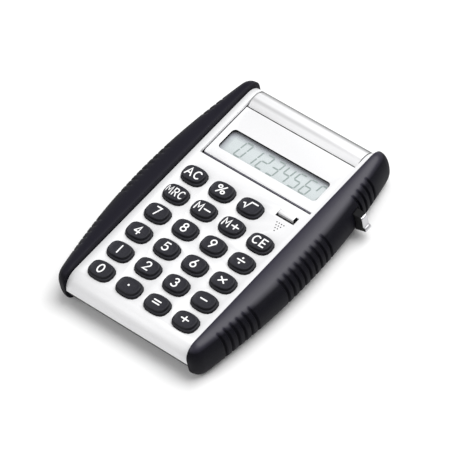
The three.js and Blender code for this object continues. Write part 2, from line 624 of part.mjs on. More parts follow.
function releaseTab() {
  const slot = slotOutline();
  const top = FACE - SLOT_SKIN - SEAT_GAP;
  const plate = box(slot.x0 - TAB_BASE_LIP, slot.x1 + TAB_BASE_LIP, slot.y0 - TAB_BASE_LIP, slot.y1 + TAB_BASE_LIP,
    top - TAB_BASE_THICKNESS, top);
  const side = new THREE.Shape();
  const front = TAB_Y - TAB_WIDTH / 2;
  const back = TAB_Y + TAB_WIDTH / 2;
  const round = 0.35;
  side.moveTo(front, top - 0.3);
  side.lineTo(back, top - 0.3);
  side.lineTo(back, FACE + TAB_HEIGHT - round);
  side.lineTo(back - round, FACE + TAB_HEIGHT);
  side.lineTo(front + round, FACE + TAB_HEIGHT);
  side.lineTo(front, FACE + TAB_HEIGHT - round);
  side.closePath();
  return plate.add(extrudeAcross(side, TAB_X - TAB_LENGTH / 2, TAB_X + TAB_LENGTH / 2));
}

// ---- Rear cover and battery ---------------------------------------------------------------------

const CELL_UNDER = DOOR_THICKNESS + SEAT_GAP;
const DOOR_LOW = CELL_Y - DOOR_WIDTH / 2 - 1.5;
const DOOR_HIGH = DOOR_LOW + DOOR_WIDTH;
const DOOR_SCREW_Y = DOOR_LOW + 2.6;
const DOOR_SCREW_HEAD = 0.5;
const DOOR_POST_TOP = BOARD_UNDER - 0.6;
const WELL_FLOOR = FACE_WALL + 1.0; // thicker floor around the battery door

function rearShell() {
  const inner = HALF_WIDTH - SIDE_WALL;
  const cavity = extrudeAcross(rearProfile(FACE_WALL, 1), -inner, inner)
    .intersect(box(-FAR, FAR, -FAR, ARM_ROOT, -1, FAR));
  return extrudeAcross(rearProfile(0), -HALF_WIDTH, HALF_WIDTH)
    .subtract(cavity)
    .subtract(drumSpace(RUN_GAP))
    .subtract(box(-BAY_HALF, BAY_HALF, BAY_EDGE, FAR, BAY_FLOOR, FAR))
    .subtract(box(-BAY_HALF, BAY_HALF, HINGE_Y, FAR, -1, FAR));
}

function rearPosts() {
  const posts = POSTS.map(({ x, y, split }) => rod('z', REAR_POST_RADIUS, [x, y, -1], [x, y, split], 16));
  return wasm.Manifold.union(posts).intersect(extrudeAcross(rearProfile(0), -HALF_WIDTH, HALF_WIDTH));
}

function batteryWell() {
  const ringTop = CELL_UNDER + CELL_THICKNESS * 0.8;
  const ringOuter = CELL_RADIUS + RUN_GAP + CELL_RING_WALL;
  const notch = CONTACT_WIDTH / 2 + RUN_GAP;
  const half = DOOR_LENGTH / 2 + DOOR_LAP;
  return box(-half, half, DOOR_LOW - DOOR_LAP, DOOR_HIGH + DOOR_LAP, FACE_WALL / 2, WELL_FLOOR)
    .add(rod('z', ringOuter, [0, CELL_Y, FACE_WALL], [0, CELL_Y, ringTop], 32))
    .add(rod('z', POST_RADIUS, [0, DOOR_SCREW_Y, FACE_WALL], [0, DOOR_SCREW_Y, DOOR_POST_TOP], 16))
    .subtract(box(-notch, notch, CELL_Y, CELL_Y + ringOuter + 1, WELL_FLOOR, FAR));
}

function rearCover() {
  let solid = rearShell().add(rearPosts()).add(batteryWell());
  const open = CELL_RADIUS + RUN_GAP;
  solid = solid.subtract(rod('z', open, [0, CELL_Y, 0], [0, CELL_Y, FAR], 32));
  solid = solid.subtract(box(-DOOR_LENGTH / 2 - SEAT_GAP, DOOR_LENGTH / 2 + SEAT_GAP,
    DOOR_LOW - SEAT_GAP, DOOR_HIGH + SEAT_GAP, -1, DOOR_THICKNESS + SEAT_GAP / 2));
  solid = solid.subtract(rod('z', SCREW_RADIUS + PIN_GAP, [0, DOOR_SCREW_Y, 0],
    [0, DOOR_SCREW_Y, DOOR_POST_TOP - 0.4], 12));
  for (const { x, y, head } of POSTS) {
    solid = solid.subtract(rod('z', SCREW_RADIUS + PIN_GAP, [x, y, -1], [x, y, FAR], 12));
    solid = solid.subtract(rod('z', SCREW_HEAD_RADIUS + PIN_GAP, [x, y, -1],
      [x, y, head + SCREW_HEAD_THICKNESS + SEAT_GAP], 16));
  }
  for (const side of [-1, 1]) {
    solid = solid.subtract(rod('x', PIN_RADIUS + PIN_GAP, [side * (HALF_WIDTH - 1), HINGE_Y, HINGE_Z],
      [side * BAY_HALF / 2, HINGE_Y, HINGE_Z], 20));
  }
  return solid;
}

function batteryDoor() {
  return box(-DOOR_LENGTH / 2, DOOR_LENGTH / 2, DOOR_LOW, DOOR_HIGH, 0, DOOR_THICKNESS)
    .subtract(rod('z', SCREW_RADIUS + PIN_GAP, [0, DOOR_SCREW_Y, -1], [0, DOOR_SCREW_Y, FAR], 12))
    .subtract(rod('z', SCREW_HEAD_RADIUS + PIN_GAP, [0, DOOR_SCREW_Y, -1],
      [0, DOOR_SCREW_Y, DOOR_SCREW_HEAD + PIN_GAP], 16));
}

function screw(x, y, headLow, headThickness, tip) {
  return rod('z', SCREW_HEAD_RADIUS, [x, y, headLow], [x, y, headLow + headThickness], 16)
    .add(rod('z', SCREW_RADIUS, [x, y, headLow + headThickness / 2], [x, y, tip], 12));
}

function batteryCell() {
  return rod('z', CELL_RADIUS, [0, CELL_Y, CELL_UNDER], [0, CELL_Y, CELL_UNDER + CELL_THICKNESS], 32);
}

// Leaf beside the cell, folded over under the board.
function sideContact() {
  const half = CONTACT_WIDTH / 2;
  const y = CELL_Y + CELL_RADIUS + CONTACT_LEAF;
  const top = BOARD_UNDER - SEAT_GAP;
  return box(-half, half, y, y + CONTACT_LEAF, WELL_FLOOR + SEAT_GAP, top)
    .add(box(-half, half, y, y + CONTACT_WIDTH, top - CONTACT_LEAF, top));
}

// Leaf over the cell, folded up to the board.
function topContact() {
  const half = CONTACT_WIDTH / 2;
  const low = CELL_UNDER + CELL_THICKNESS + SEAT_GAP;
  const top = BOARD_UNDER - SEAT_GAP;
  return box(-half, half, CELL_Y - CELL_RADIUS / 2, CELL_Y + CELL_RADIUS / 2, low, low + CONTACT_LEAF)
    .add(box(-half, half, CELL_Y - CELL_RADIUS / 2, CELL_Y - CELL_RADIUS / 2 + CONTACT_LEAF, low, top));
}

// ---- Electronics --------------------------------------------------------------------------------

const BOARD_HALF = COLUMN_X(COLUMNS - 1) + BOARD_SIDE;

function mainBoard() {
  return box(-BOARD_HALF, BOARD_HALF, FIRST_ROW - BOARD_MARGIN, LAST_ROW + BOARD_MARGIN, BOARD_UNDER, BOARD_TOP);
}

function keyMat() {
  let solid = box(-BOARD_HALF, BOARD_HALF, FIRST_ROW - BOARD_MARGIN, LAST_ROW + BOARD_MARGIN,
    MAT_TOP - MAT_THICKNESS, MAT_TOP);
  for (const { x, y } of KEYS) {
    solid = solid.add(rod('z', MAT_PAD_RADIUS, [x, y, MAT_TOP - MAT_THICKNESS / 2], [x, y, PAD_TOP], 10));
  }
  return solid;
}

function chipBlob() {
  const radius = 4.5;
  const y = LAST_ROW - KEY_PITCH_Y;
  const top = BOARD_UNDER - SEAT_GAP / 2;
  return rod('z', radius, [-KEY_PITCH_X, y, top - 1.2], [-KEY_PITCH_X, y, top], 20);
}

function ribbonConnector() {
  const half = KEY_PITCH_X / 2;
  const top = BOARD_UNDER - SEAT_GAP / 2;
  return box(-half, half, LAST_ROW - 1, LAST_ROW + BOARD_MARGIN - 0.4, top - 1.6, top);
}

// ---- Assembly -----------------------------------------------------------------------------------

add('rear_cover', rearCover(), CHARCOAL, 0.6);
add('front_frame', frontFrame(), SILVER, 0.35, 0.3);
add('left_grip', ribbedGrip().mirror([1, 0, 0]), RUBBER, 0.6);
add('right_grip', rightGrip(), RUBBER, 0.6);
add('display_panel', displayPanel(), SILVER, 0.35, 0.3);
add('display_back', displayBack(), CHARCOAL, 0.6);
add('display_lens', plateUnderWindow(LENS_TOP, LENS_THICKNESS), 0xc6cfc4, 0.1);
add('lcd_glass', plateUnderWindow(GLASS_TOP, GLASS_THICKNESS), 0x9aa79a, 0.2);
add('hinge_drum', hingeDrum(), 0x9fa0a4, 0.3, 0.4);
add('drum_cap', drumCap(), BLACK, 0.5);
add('hinge_pin', hingePin(), STEEL, 0.3, 0.9);
add('hinge_spring', hingeSpring(), STEEL, 0.3, 0.9);
add('release_tab', releaseTab(), SILVER, 0.35, 0.3);
add('side_lever', sideLever(), SILVER, 0.4, 0.2);
add('lever_pin', leverPin(), STEEL, 0.3, 0.9);
add('lever_spring', leverSpring(), STEEL, 0.3, 0.9);
add('main_board', mainBoard(), 0x2f6b3c, 0.5);
add('key_mat', keyMat(), 0x8d8f93, 0.8);
add('chip_blob', chipBlob(), BLACK, 0.4);
add('ribbon_connector', ribbonConnector(), 0xe8e4d8, 0.5);
add('battery_cell', batteryCell(), STEEL, 0.25, 0.9);
add('battery_contact_side', sideContact(), STEEL, 0.3, 0.9);
add('battery_contact_top', topContact(), STEEL, 0.3, 0.9);
add('battery_door', batteryDoor(), CHARCOAL, 0.6);
add('door_screw', screw(0, DOOR_SCREW_Y, PIN_GAP, DOOR_SCREW_HEAD - PIN_GAP, DOOR_POST_TOP - 0.8), STEEL, 0.3, 0.9);
POSTS.forEach(({ x, y, head, tip }, i) => {
  add(`case_screw_${i + 1}`, screw(x, y, head, SCREW_HEAD_THICKNESS, tip), STEEL, 0.3, 0.9);
});
for (const key of KEYS) add(key.name, keyCap(key), CHARCOAL, 0.45);

export default group;
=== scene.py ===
"""Finished look of a pocket calculator with rubber side grips and a flip-up display."""

import json
import math

import bmesh
import bpy
from bpy.props import FloatProperty, FloatVectorProperty, IntProperty, PointerProperty
from mathutils import Matrix, Quaternion, Vector


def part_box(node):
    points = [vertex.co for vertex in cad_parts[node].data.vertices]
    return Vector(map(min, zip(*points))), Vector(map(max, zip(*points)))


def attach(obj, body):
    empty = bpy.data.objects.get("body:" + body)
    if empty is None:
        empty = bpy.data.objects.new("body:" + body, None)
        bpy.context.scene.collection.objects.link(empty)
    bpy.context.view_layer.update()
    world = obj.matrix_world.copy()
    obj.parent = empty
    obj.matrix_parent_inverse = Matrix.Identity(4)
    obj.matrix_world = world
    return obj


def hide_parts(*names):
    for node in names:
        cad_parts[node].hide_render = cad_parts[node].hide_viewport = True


bl_info = {
    "name": "Pocket Calculator",
    "version": (1, 0, 0),
    "blender": (4, 5, 0),
    "location": "3D View > Sidebar > Calculator",
    "description": "Builds the finished pieces of a pocket calculator round its frame",
    "category": "Add Mesh",
}

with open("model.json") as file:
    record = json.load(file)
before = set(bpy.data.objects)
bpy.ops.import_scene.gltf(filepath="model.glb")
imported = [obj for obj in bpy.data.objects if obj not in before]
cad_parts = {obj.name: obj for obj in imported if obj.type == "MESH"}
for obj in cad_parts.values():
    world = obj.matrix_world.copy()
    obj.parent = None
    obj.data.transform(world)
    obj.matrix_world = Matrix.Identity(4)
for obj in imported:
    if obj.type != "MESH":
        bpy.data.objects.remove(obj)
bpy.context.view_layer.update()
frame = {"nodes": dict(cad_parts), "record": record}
MM = 0.001
BOX = {node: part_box(node) for node in frame["nodes"]}
FACE = BOX["front_frame"][1].z
GRIP_INNER = BOX["right_grip"][0].x
GRIP_HALF = BOX["right_grip"][1].y
GRIP_RISE = BOX["right_grip"][1].z / 2
GRIP_END_WIDTH = 4.2 * MM
GRIP_BULGE = 11.3 * MM
GRIP_PLAN_ROUNDING = 3.4 * MM
GRIP_SIDE_ROUNDING = 5.5 * MM
GRIP_SQUARENESS = 2.4
KEY_SQUARENESS = 2.6
WELD = 0.001 * MM
SMOOTH_BELOW = math.radians(35)
FLAT_WITHIN = math.radians(0.6)

LEGENDS = {
    "key_0": "0", "key_point": ".", "key_equals": "=", "key_plus": "+",
    "key_1": "1", "key_2": "2", "key_3": "3", "key_minus": "-",
    "key_4": "4", "key_5": "5", "key_6": "6", "key_times": "x",
    "key_7": "7", "key_8": "8", "key_9": "9", "key_divide": ":",
    "key_memory_recall": "MRC", "key_memory_minus": "M-", "key_memory_plus": "M+", "key_clear_entry": "CE",
    "key_all_clear": "AC", "key_percent": "%", "key_root": "V",
}
# Each sign's width as a share of its height, then its strokes, with x and y as shares of that width
# and height: corners as (x, y), arcs as (x, y, rx, ry, from, to) in degrees.
SIGNS = {
    "0": (0.66, [[(0.5, 0.5, 0.44, 0.46, 90, 450)]]),
    "1": (0.12, [[(0.5, 0.04), (0.5, 0.96)]]),
    "2": (0.64, [[(0.5, 0.7, 0.42, 0.26, 165, -35), (0.07, 0.04), (0.95, 0.04)]]),
    "3": (0.62, [[(0.48, 0.73, 0.38, 0.23, 150, -80)], [(0.45, 0.28, 0.47, 0.26, 85, -150)]]),
    "4": (0.7, [[(0.68, 0.04), (0.68, 0.96), (0.05, 0.3)], [(0.05, 0.3), (0.94, 0.3)]]),
    "5": (0.64, [[(0.87, 0.96), (0.22, 0.96), (0.13, 0.55), (0.45, 0.33, 0.47, 0.29, 120, -150)]]),
    "6": (0.64, [[(0.73, 0.96), (0.12, 0.4)], [(0.5, 0.31, 0.43, 0.27, 90, 450)]]),
    "7": (0.62, [[(0.07, 0.96), (0.95, 0.96), (0.38, 0.04)]]),
    "8": (0.62, [[(0.5, 0.73, 0.37, 0.22, 90, 450)], [(0.5, 0.27, 0.45, 0.25, 90, 450)]]),
    "9": (0.64, [[(0.27, 0.04), (0.88, 0.6)], [(0.5, 0.69, 0.43, 0.27, 90, 450)]]),
    ".": (0.2, [[(0.5, 0.5)]]),
    "-": (0.82, [[(0.05, 0.5), (0.95, 0.5)]]),
    "=": (0.86, [[(0.05, 0.66), (0.95, 0.66)], [(0.05, 0.34), (0.95, 0.34)]]),
    "+": (0.92, [[(0.05, 0.5), (0.95, 0.5)], [(0.5, 0.2), (0.5, 0.8)]]),
    "x": (0.8, [[(0.09, 0.25), (0.91, 0.75)], [(0.09, 0.75), (0.91, 0.25)]]),
    ":": (0.92, [[(0.05, 0.5), (0.95, 0.5)], [(0.5, 0.82)], [(0.5, 0.18)]]),
    "%": (1.12, [[(0.18, 0.04), (0.82, 0.96)],
                [(0.23, 0.75, 0.17, 0.17, 90, 450)],
                [(0.77, 0.25, 0.17, 0.17, 90, 450)]]),
    "V": (1.4, [[(0, 0.5), (0.11, 0.56), (0.27, 0.08), (0.48, 0.94), (1, 0.94)]]),
    "A": (0.82, [[(0.05, 0.04), (0.5, 0.96), (0.95, 0.04)], [(0.21, 0.35), (0.79, 0.35)]]),
    "C": (0.78, [[(0.55, 0.5, 0.48, 0.46, 50, 310)]]),
    "E": (0.62, [[(0.94, 0.96), (0.1, 0.96), (0.1, 0.04), (0.94, 0.04)], [(0.1, 0.5), (0.84, 0.5)]]),
    "M": (0.84, [[(0.07, 0.04), (0.14, 0.96), (0.5, 0.35), (0.86, 0.96), (0.93, 0.04)]]),
    "R": (0.66, [[(0.11, 0.04), (0.11, 0.96), (0.54, 0.72, 0.41, 0.24, 90, -90), (0.11, 0.48)],
                [(0.54, 0.48), (0.93, 0.04)]]),
}
SEGMENTS = {
    "0": "abcdef", "1": "bc", "2": "abged", "3": "abgcd", "4": "fgbc",
    "5": "afgcd", "6": "afgecd", "7": "fabc",
}


# ---- Properties ---------------------------------------------------------------------------------


def length(name, description, value):
    """A length setting whose default is given in millimetres."""
    return FloatProperty(
        name=name, description=description, default=value * MM, min=0.0, unit="LENGTH", precision=5
    )


def colour(name, description, value):
    """A colour setting."""
    return FloatVectorProperty(
        name=name, description=description, default=value, size=3, min=0, max=1, subtype="COLOR"
    )


class CalculatorSizes(bpy.types.PropertyGroup):
    """Sizes of the finished pieces."""

    key_rim: length("Key rim", "Width of the rounded edge round a key's top", 0.35)
    key_dish: length("Key dish", "How far a key's top is hollowed", 0.12)
    panel_lip: length("Panel lip", "Rounding of the display panel's front edge", 0.9)
    key_ledge: length("Key ledge", "Width of the ledge round a key's skirt", 0.48)
    legend_height: length("Legend height", "Height of the key legends", 3.7)
    legend_stroke: length("Legend stroke", "Width of the legend strokes", 0.54)
    legend_raise: length("Legend raise", "How far a legend stands on its key", 0.07)
    groove_depth: length("Groove depth", "Depth of the grooves between the grip ribs", 1.15)
    rib_pitch: length("Rib pitch", "Spacing of the grip ribs", 2.95)
    edge_round: length("Edge rounding", "Rounding of the moulded edges", 0.18)
    digit_pitch: length("Digit pitch", "Spacing of the display digits", 5.0)
    digit_height: length("Digit height", "Height of the display digits", 6.9)
    digit_width: length("Digit width", "Width of the display digits", 3.0)
    digit_stroke: length("Digit stroke", "Width of a display segment", 0.66)
    dot_radius: length("Dot radius", "Radius of the printed dots below the catch", 0.25)
    grip_rounds: IntProperty(
        name="Grip corners", description="Corners round the section of a grip", default=40, min=8
    )


class CalculatorColours(bpy.types.PropertyGroup):
    """Colours of the finishes."""

    silver: colour("Silver", "Painted face and display panel", (0.82, 0.82, 0.83))
    rubber: colour("Grip rubber", "Side grips", (0.002, 0.002, 0.004))
    # Painted light: the lighter colour painted on the tops of the grips, strongest on the right grip, where
    # the key light falls.
    rubber_top_painted_light: colour("Grip top", "Scuffed top of the side grips", (0.02, 0.018, 0.031))
    key: colour("Key", "Key caps", (0.008, 0.008, 0.01))
    legend: colour("Legend", "Key legends", (0.9, 0.9, 0.9))
    back: colour("Back", "Rear cover and battery door", (0.028, 0.028, 0.032))
    # The dark finish colour: painted shade on hole walls, seams, the bay, the barrel's ends and the sides of
    # the catch and lever, and also the printed dots and the hidden insides.
    lining_and_painted_shade: colour("Lining", "Unpainted insides, hole walls and seams", (0.008, 0.008, 0.009))
    glass: colour("Display glass", "Background of the display", (0.55, 0.6, 0.61))
    # Painted shade: the lavender grey painted on the upper rounding of the display panel's front lip, for the
    # shade of the seam below it.
    lip: colour("Lip", "Shaded lip at the front of the display panel", (0.34, 0.33, 0.42))
    glass_shade: colour("Display shade", "Shaded edge of the liquid crystal glass", (0.13, 0.13, 0.2))
    digit: colour("Digits", "Display segments", (0.2, 0.26, 0.25))
    steel: colour("Steel", "Pins, springs, screws and contacts", (0.55, 0.55, 0.57))
    board: colour("Board", "Circuit board", (0.02, 0.16, 0.06))
    mat: colour("Mat", "Rubber key mat", (0.3, 0.3, 0.31))
    floor: colour("Floor", "Floor under the calculator", (0.92, 0.92, 0.92))


# ---- Shading ------------------------------------------------------------------------------------


class Value:
    """A shader socket; arithmetic on it adds Math nodes."""

    def __init__(self, tree, socket):
        self.tree = tree
        self.socket = socket

    def _math(self, operation, *operands):
        node = self.tree.nodes.new("ShaderNodeMath")
        node.operation = operation
        for slot, operand in zip(node.inputs, operands):
            if isinstance(operand, Value):
                self.tree.links.new(operand.socket, slot)
            else:
                slot.default_value = operand
        return Value(self.tree, node.outputs[0])

    def __add__(self, other):
        return self._math("ADD", self, other)

    __radd__ = __add__

    def __sub__(self, other):
        return self._math("SUBTRACT", self, other)

    def __rsub__(self, other):
        return self._math("SUBTRACT", other, self)

    def __mul__(self, other):
        return self._math("MULTIPLY", self, other)

    __rmul__ = __mul__

    def __truediv__(self, other):
        return self._math("DIVIDE", self, other)

    def size(self):
        """The value without its sign."""
        return self._math("ABSOLUTE", self)

    def clamped(self):
        """The value held between 0 and 1."""
        return self._math("MAXIMUM", self._math("MINIMUM", self, 1.0), 0.0)

    def smooth_above(self, low, high):
        """0 below low, 1 above high."""
        return ((self - low) / (high - low)).clamped()


class Finish:
    """A node material being built."""

    def __init__(self, name):
        self.material = bpy.data.materials.new(name)
        self.material.use_nodes = True
        self.tree = self.material.node_tree
        self.shader = self.tree.nodes["Principled BSDF"]

    def node(self, kind, settings=None, inputs=None):
        """Adds a node with its settings and inputs."""
        made = self.tree.nodes.new(kind)
        for key, value in (settings or {}).items():
            setattr(made, key, value)
        for key, value in (inputs or {}).items():
            self.feed(made.inputs[key], value)
        return made

    def feed(self, socket, value):
        """Links a socket or sets its value."""
        if isinstance(value, Value):
            self.tree.links.new(value.socket, socket)
        elif isinstance(value, bpy.types.NodeSocket):
            self.tree.links.new(value, socket)
        else:
            socket.default_value = value

    def set(self, **inputs):
        """Feeds the shader's inputs, named in lower case."""
        for name, value in inputs.items():
            self.feed(self.shader.inputs[name.replace("_", " ").title()], value)
        return self

    def place(self, stretch=(1, 1, 1)):
        """Object coordinates in millimetres, stretched along the axes."""
        where = self.node("ShaderNodeTexCoord").outputs["Object"]
        scale = tuple(value / MM for value in stretch)
        return self.node("ShaderNodeMapping", inputs={"Vector": where, "Scale": scale}).outputs[0]

    def noise(self, size, detail=3.0, stretch=(1, 1, 1)):
        """Soft noise with features of about this size in millimetres."""
        made = self.node(
            "ShaderNodeTexNoise",
            inputs={"Vector": self.place(stretch), "Scale": 1 / size, "Detail": detail, "Roughness": 0.6},
        )
        return Value(self.tree, made.outputs["Fac"])

    def speckle(self, size):
        """Distance from the middle of cells of about this size in millimetres."""
        made = self.node(
            "ShaderNodeTexVoronoi",
            inputs={"Vector": self.place(), "Scale": 1 / size, "Randomness": 1.0},
        )
        return Value(self.tree, made.outputs["Distance"])

    def axis(self, name):
        """One object coordinate in millimetres."""
        made = self.node("ShaderNodeSeparateXYZ", inputs={"Vector": self.place()})
        return Value(self.tree, made.outputs[name])

    def blend(self, amount, first, second):
        """A colour between two colours."""
        made = self.node("ShaderNodeMix", {"data_type": "RGBA"})
        self.feed(made.inputs["Factor"], amount)
        for slot, value in ((6, first), (7, second)):
            self.feed(made.inputs[slot], (*value, 1) if isinstance(value, (tuple, list)) else value)
        return made.outputs[2]

    def bump(self, height, depth, strength=1.0):
        """Relief of this depth in millimetres."""
        made = self.node(
            "ShaderNodeBump", inputs={"Height": height, "Distance": depth * MM, "Strength": strength}
        )
        self.feed(self.shader.inputs["Normal"], made.outputs[0])
        return self


def shade(base, factor):
    """A colour made lighter or darker."""
    return tuple(min(1.0, channel * factor) for channel in base)


FINISHES = {}


def finish(name):
    """The finish of that name, made the first time it is asked for."""
    if name not in FINISHES:
        FINISHES[name] = RECIPES[name](bpy.context.scene.calculator_colours)
    return FINISHES[name].material


def silver_paint(c):
    made = Finish("silver_paint")
    flake, cloud = made.speckle(0.12), made.noise(9.0)
    base = made.blend(flake.smooth_above(0.1, 0.9), shade(c.silver, 1.03), shade(c.silver, 0.94))
    base = made.blend(cloud.smooth_above(0.45, 0.8) * 0.35, base, shade(c.silver, 0.95))
    made.set(base_color=base, roughness=0.34 + flake * 0.08, metallic=0.12)
    return made.bump(flake, 0.004, 0.5)


# Painted shade on the upper rounding of the display panel's front lip, in the lip colour with a fine speckle.
def lip_painted_shade(c):
    made = Finish("lip_painted_shade")
    flake = made.speckle(0.12)
    base = made.blend(flake, tuple(c.lip), shade(c.lip, 0.9))
    made.set(base_color=base, roughness=0.4 + flake * 0.08)
    return made.bump(flake, 0.004, 0.5)


def grip_rubber(c):
    made = Finish("grip_rubber")
    grain, cloud = made.noise(0.22, 4.0), made.noise(7.0)
    # Painted light: the grip tops are blended to the lighter top colour, fully on the right grip and at 30 %
    # on the left, and given a coat that is stronger on the right. This stands in for the key light falling on
    # the right grip's top.
    top = made.axis("Z").smooth_above(13.9, 15.1)
    right = made.axis("X").smooth_above(-1.0, 1.0)
    base = made.blend(top * (0.3 + right * 0.7), tuple(c.rubber), tuple(c.rubber_top_painted_light))
    base = made.blend(grain.smooth_above(0.45, 0.75) * 0.3, base, shade(c.rubber_top_painted_light, 1.5))
    shine = top * (0.12 + right * 0.43)
    made.set(base_color=base, roughness=0.45 + grain * 0.18 + cloud * 0.08, coat_weight=shine)
    made.shader.inputs["Specular IOR Level"].default_value = 0.1
    made.shader.inputs["Coat Roughness"].default_value = 0.36
    return made.bump(grain, 0.03, 0.7)


def key_plastic(c):
    made = Finish("key_plastic")
    grain = made.noise(0.16, 4.0)
    height = made.axis("Z") - FACE / MM
    # Painted light: the key tops get light flecks of up to five times the key colour, for the light falling
    # on them from above, and the ledge round the skirt gets a painted highlight. The sides stay dark.
    top = height.smooth_above(1.7, 2.0) + (0.09 - (height - 1.0).size()).smooth_above(0.0, 0.05)
    base = made.blend(grain.smooth_above(0.35, 0.75), shade(c.key, 0.8), shade(c.key, 1.9))
    base = made.blend(top * grain.smooth_above(0.3, 0.7), base, shade(c.key, 5.0))
    made.set(base_color=base, roughness=0.38 + grain * 0.16)
    made.shader.inputs["Specular IOR Level"].default_value = 0.16
    return made.bump(grain, 0.016, 0.6)


def legend_ink(c):
    made = Finish("legend_ink")
    grain = made.noise(0.3)
    made.set(base_color=made.blend(grain, shade(c.legend, 0.96), shade(c.legend, 1.04)), roughness=0.5)
    return made.bump(grain, 0.005, 0.4)


def back_plastic(c):
    made = Finish("back_plastic")
    grain, scuff = made.noise(0.3, 4.0), made.noise(6.0, 5.0, (1, 0.25, 1))
    base = made.blend(grain.smooth_above(0.4, 0.7), shade(c.back, 0.8), shade(c.back, 1.5))
    base = made.blend(scuff.smooth_above(0.62, 0.8) * 0.25, base, shade(c.back, 3.0))
    made.set(base_color=base, roughness=0.5 + scuff * 0.12)
    return made.bump(grain, 0.03, 0.8)


# The dark finish: painted shade in hole walls, seams and recesses, and also the ink of the printed dots and
# the hidden insides.
def dark_lining_and_painted_shade(c):
    made = Finish("dark_lining_and_painted_shade")
    grain = made.noise(0.5)
    made.set(base_color=made.blend(grain, shade(c.lining_and_painted_shade, 0.8), shade(c.lining_and_painted_shade, 1.3)), roughness=0.7)
    made.shader.inputs["Specular IOR Level"].default_value = 0.15
    return made.bump(grain, 0.02, 0.5)


def drum_silver(c):
    made = Finish("drum_silver")
    brush = made.noise(0.25, 4.0, (0.04, 1, 1))
    base = made.blend(brush, shade(c.silver, 0.93), shade(c.silver, 1.0))
    centre = (BOX["hinge_drum"][0] + BOX["hinge_drum"][1]) / 2 / MM
    across, above = made.axis("Y") - centre.y, made.axis("Z") - centre.z
    # Painted shade: the far side of the barrel is darkened almost to black, and a band next to the panel is
    # darkened a little, standing in for shade.
    far_side_painted_shade = across.smooth_above(2.4, 4.6) * above.smooth_above(0.6, 2.4)
    base = made.blend(far_side_painted_shade, base, shade(c.silver, 0.03))
    seam_painted_shade = (1.1 - (across + 1.0).size()).smooth_above(0.0, 0.9)
    base = made.blend(seam_painted_shade * 0.5, base, shade(c.silver, 0.45))
    made.set(base_color=base, roughness=0.3 + brush * 0.06, metallic=0.12)
    made.shader.inputs["Specular IOR Level"].default_value = 0.12
    return made.bump(brush, 0.001, 0.2)


def steel(c):
    made = Finish("steel")
    brush = made.noise(0.3, 4.0, (1, 0.2, 1))
    base = made.blend(brush, shade(c.steel, 0.85), shade(c.steel, 1.1))
    made.set(base_color=base, roughness=0.25 + brush * 0.15, metallic=1.0)
    return made.bump(brush, 0.004, 0.5)


def display_glass(c):
    made = Finish("display_glass")
    cloud, weave = made.noise(14.0), made.speckle(0.5)
    base = made.blend(cloud, shade(c.glass, 0.97), shade(c.glass, 1.04))
    base = made.blend(weave * 0.2, base, shade(c.glass, 0.9))
    low, high = (corner / MM for corner in BOX["display_lens"])
    # Painted shadow: the glass darkens towards its left and back edges, standing in for the shadow of the
    # window's walls.
    left = (low.x + 3.4 - made.axis("X")).smooth_above(0.0, 2.2)
    back = (made.axis("Y") - (high.y - 3.8)).smooth_above(0.0, 2.6)
    base = made.blend((left * 0.5 + back * 0.6).clamped(), base, tuple(c.glass_shade))
    return made.set(base_color=base, roughness=0.35 + weave * 0.05)


def digit_grey(c):
    made = Finish("digit_grey")
    cloud = made.noise(3.0)
    return made.set(base_color=made.blend(cloud, shade(c.digit, 0.9), shade(c.digit, 1.15)), roughness=0.5)


def clear_lens(c):
    made = Finish("clear_lens")
    haze = made.noise(20.0)
    made.set(base_color=(0.95, 0.97, 0.97, 1), roughness=0.05 + haze * 0.05, alpha=0.06 + haze * 0.03)
    return made


def board_green(c):
    made = Finish("board_green")
    trace = made.noise(2.5, 1.0, (1, 0.3, 1)).smooth_above(0.5, 0.53)
    made.set(base_color=made.blend(trace, tuple(c.board), shade(c.board, 1.8)), roughness=0.45 - trace * 0.1)
    return made.bump(trace, 0.03, 0.6)


def mat_rubber(c):
    made = Finish("mat_rubber")
    grain = made.noise(0.4, 3.0)
    made.set(base_color=made.blend(grain, shade(c.mat, 0.85), shade(c.mat, 1.1)), roughness=0.8)
    return made.bump(grain, 0.03, 0.5)


def floor_paper(c):
    made = Finish("floor_paper")
    grain = made.noise(3.0)
    return made.set(base_color=made.blend(grain, shade(c.floor, 0.995), shade(c.floor, 1.0)), roughness=0.9)


RECIPES = {
    each.__name__: each
    for each in (
        silver_paint, lip_painted_shade, grip_rubber, key_plastic, legend_ink, back_plastic, dark_lining_and_painted_shade, drum_silver,
        steel, display_glass, digit_grey, clear_lens, board_green, mat_rubber, floor_paper,
    )
}


# ---- Meshes -------------------------------------------------------------------------------------


def piece(name, bm, finishes, body, replaced=()):
    """Turns a bmesh into a piece that rides on a body of the frame."""
    for face in bm.faces:
        face.smooth = True
    for edge in bm.edges:
        edge.smooth = len(edge.link_faces) == 2 and edge.calc_face_angle() < SMOOTH_BELOW
    mesh = bpy.data.meshes.new(name)
    bm.to_mesh(mesh)
    bm.free()
    for each in finishes:
        mesh.materials.append(finish(each))
    made = bpy.data.objects.new(name, mesh)
    bpy.context.scene.collection.objects.link(made)
    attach(made, body)
    if replaced:
        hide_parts(*replaced)
    return made


def body_holding(node):
    """The body that a frame node belongs to."""
    return next(body for body, nodes in frame["record"]["behaviour"]["bodies"].items() if node in nodes)


def copy_of(node):
    """A clean copy of a frame node, its triangles merged into flat faces."""
    bm = bmesh.new()
    bm.from_mesh(frame["nodes"][node].data)
    bmesh.ops.remove_doubles(bm, verts=bm.verts, dist=0.002 * MM)
    bmesh.ops.dissolve_limit(
        bm, angle_limit=FLAT_WITHIN, verts=bm.verts, edges=bm.edges,
        use_dissolve_boundaries=False, delimit=set(),
    )
    return bm


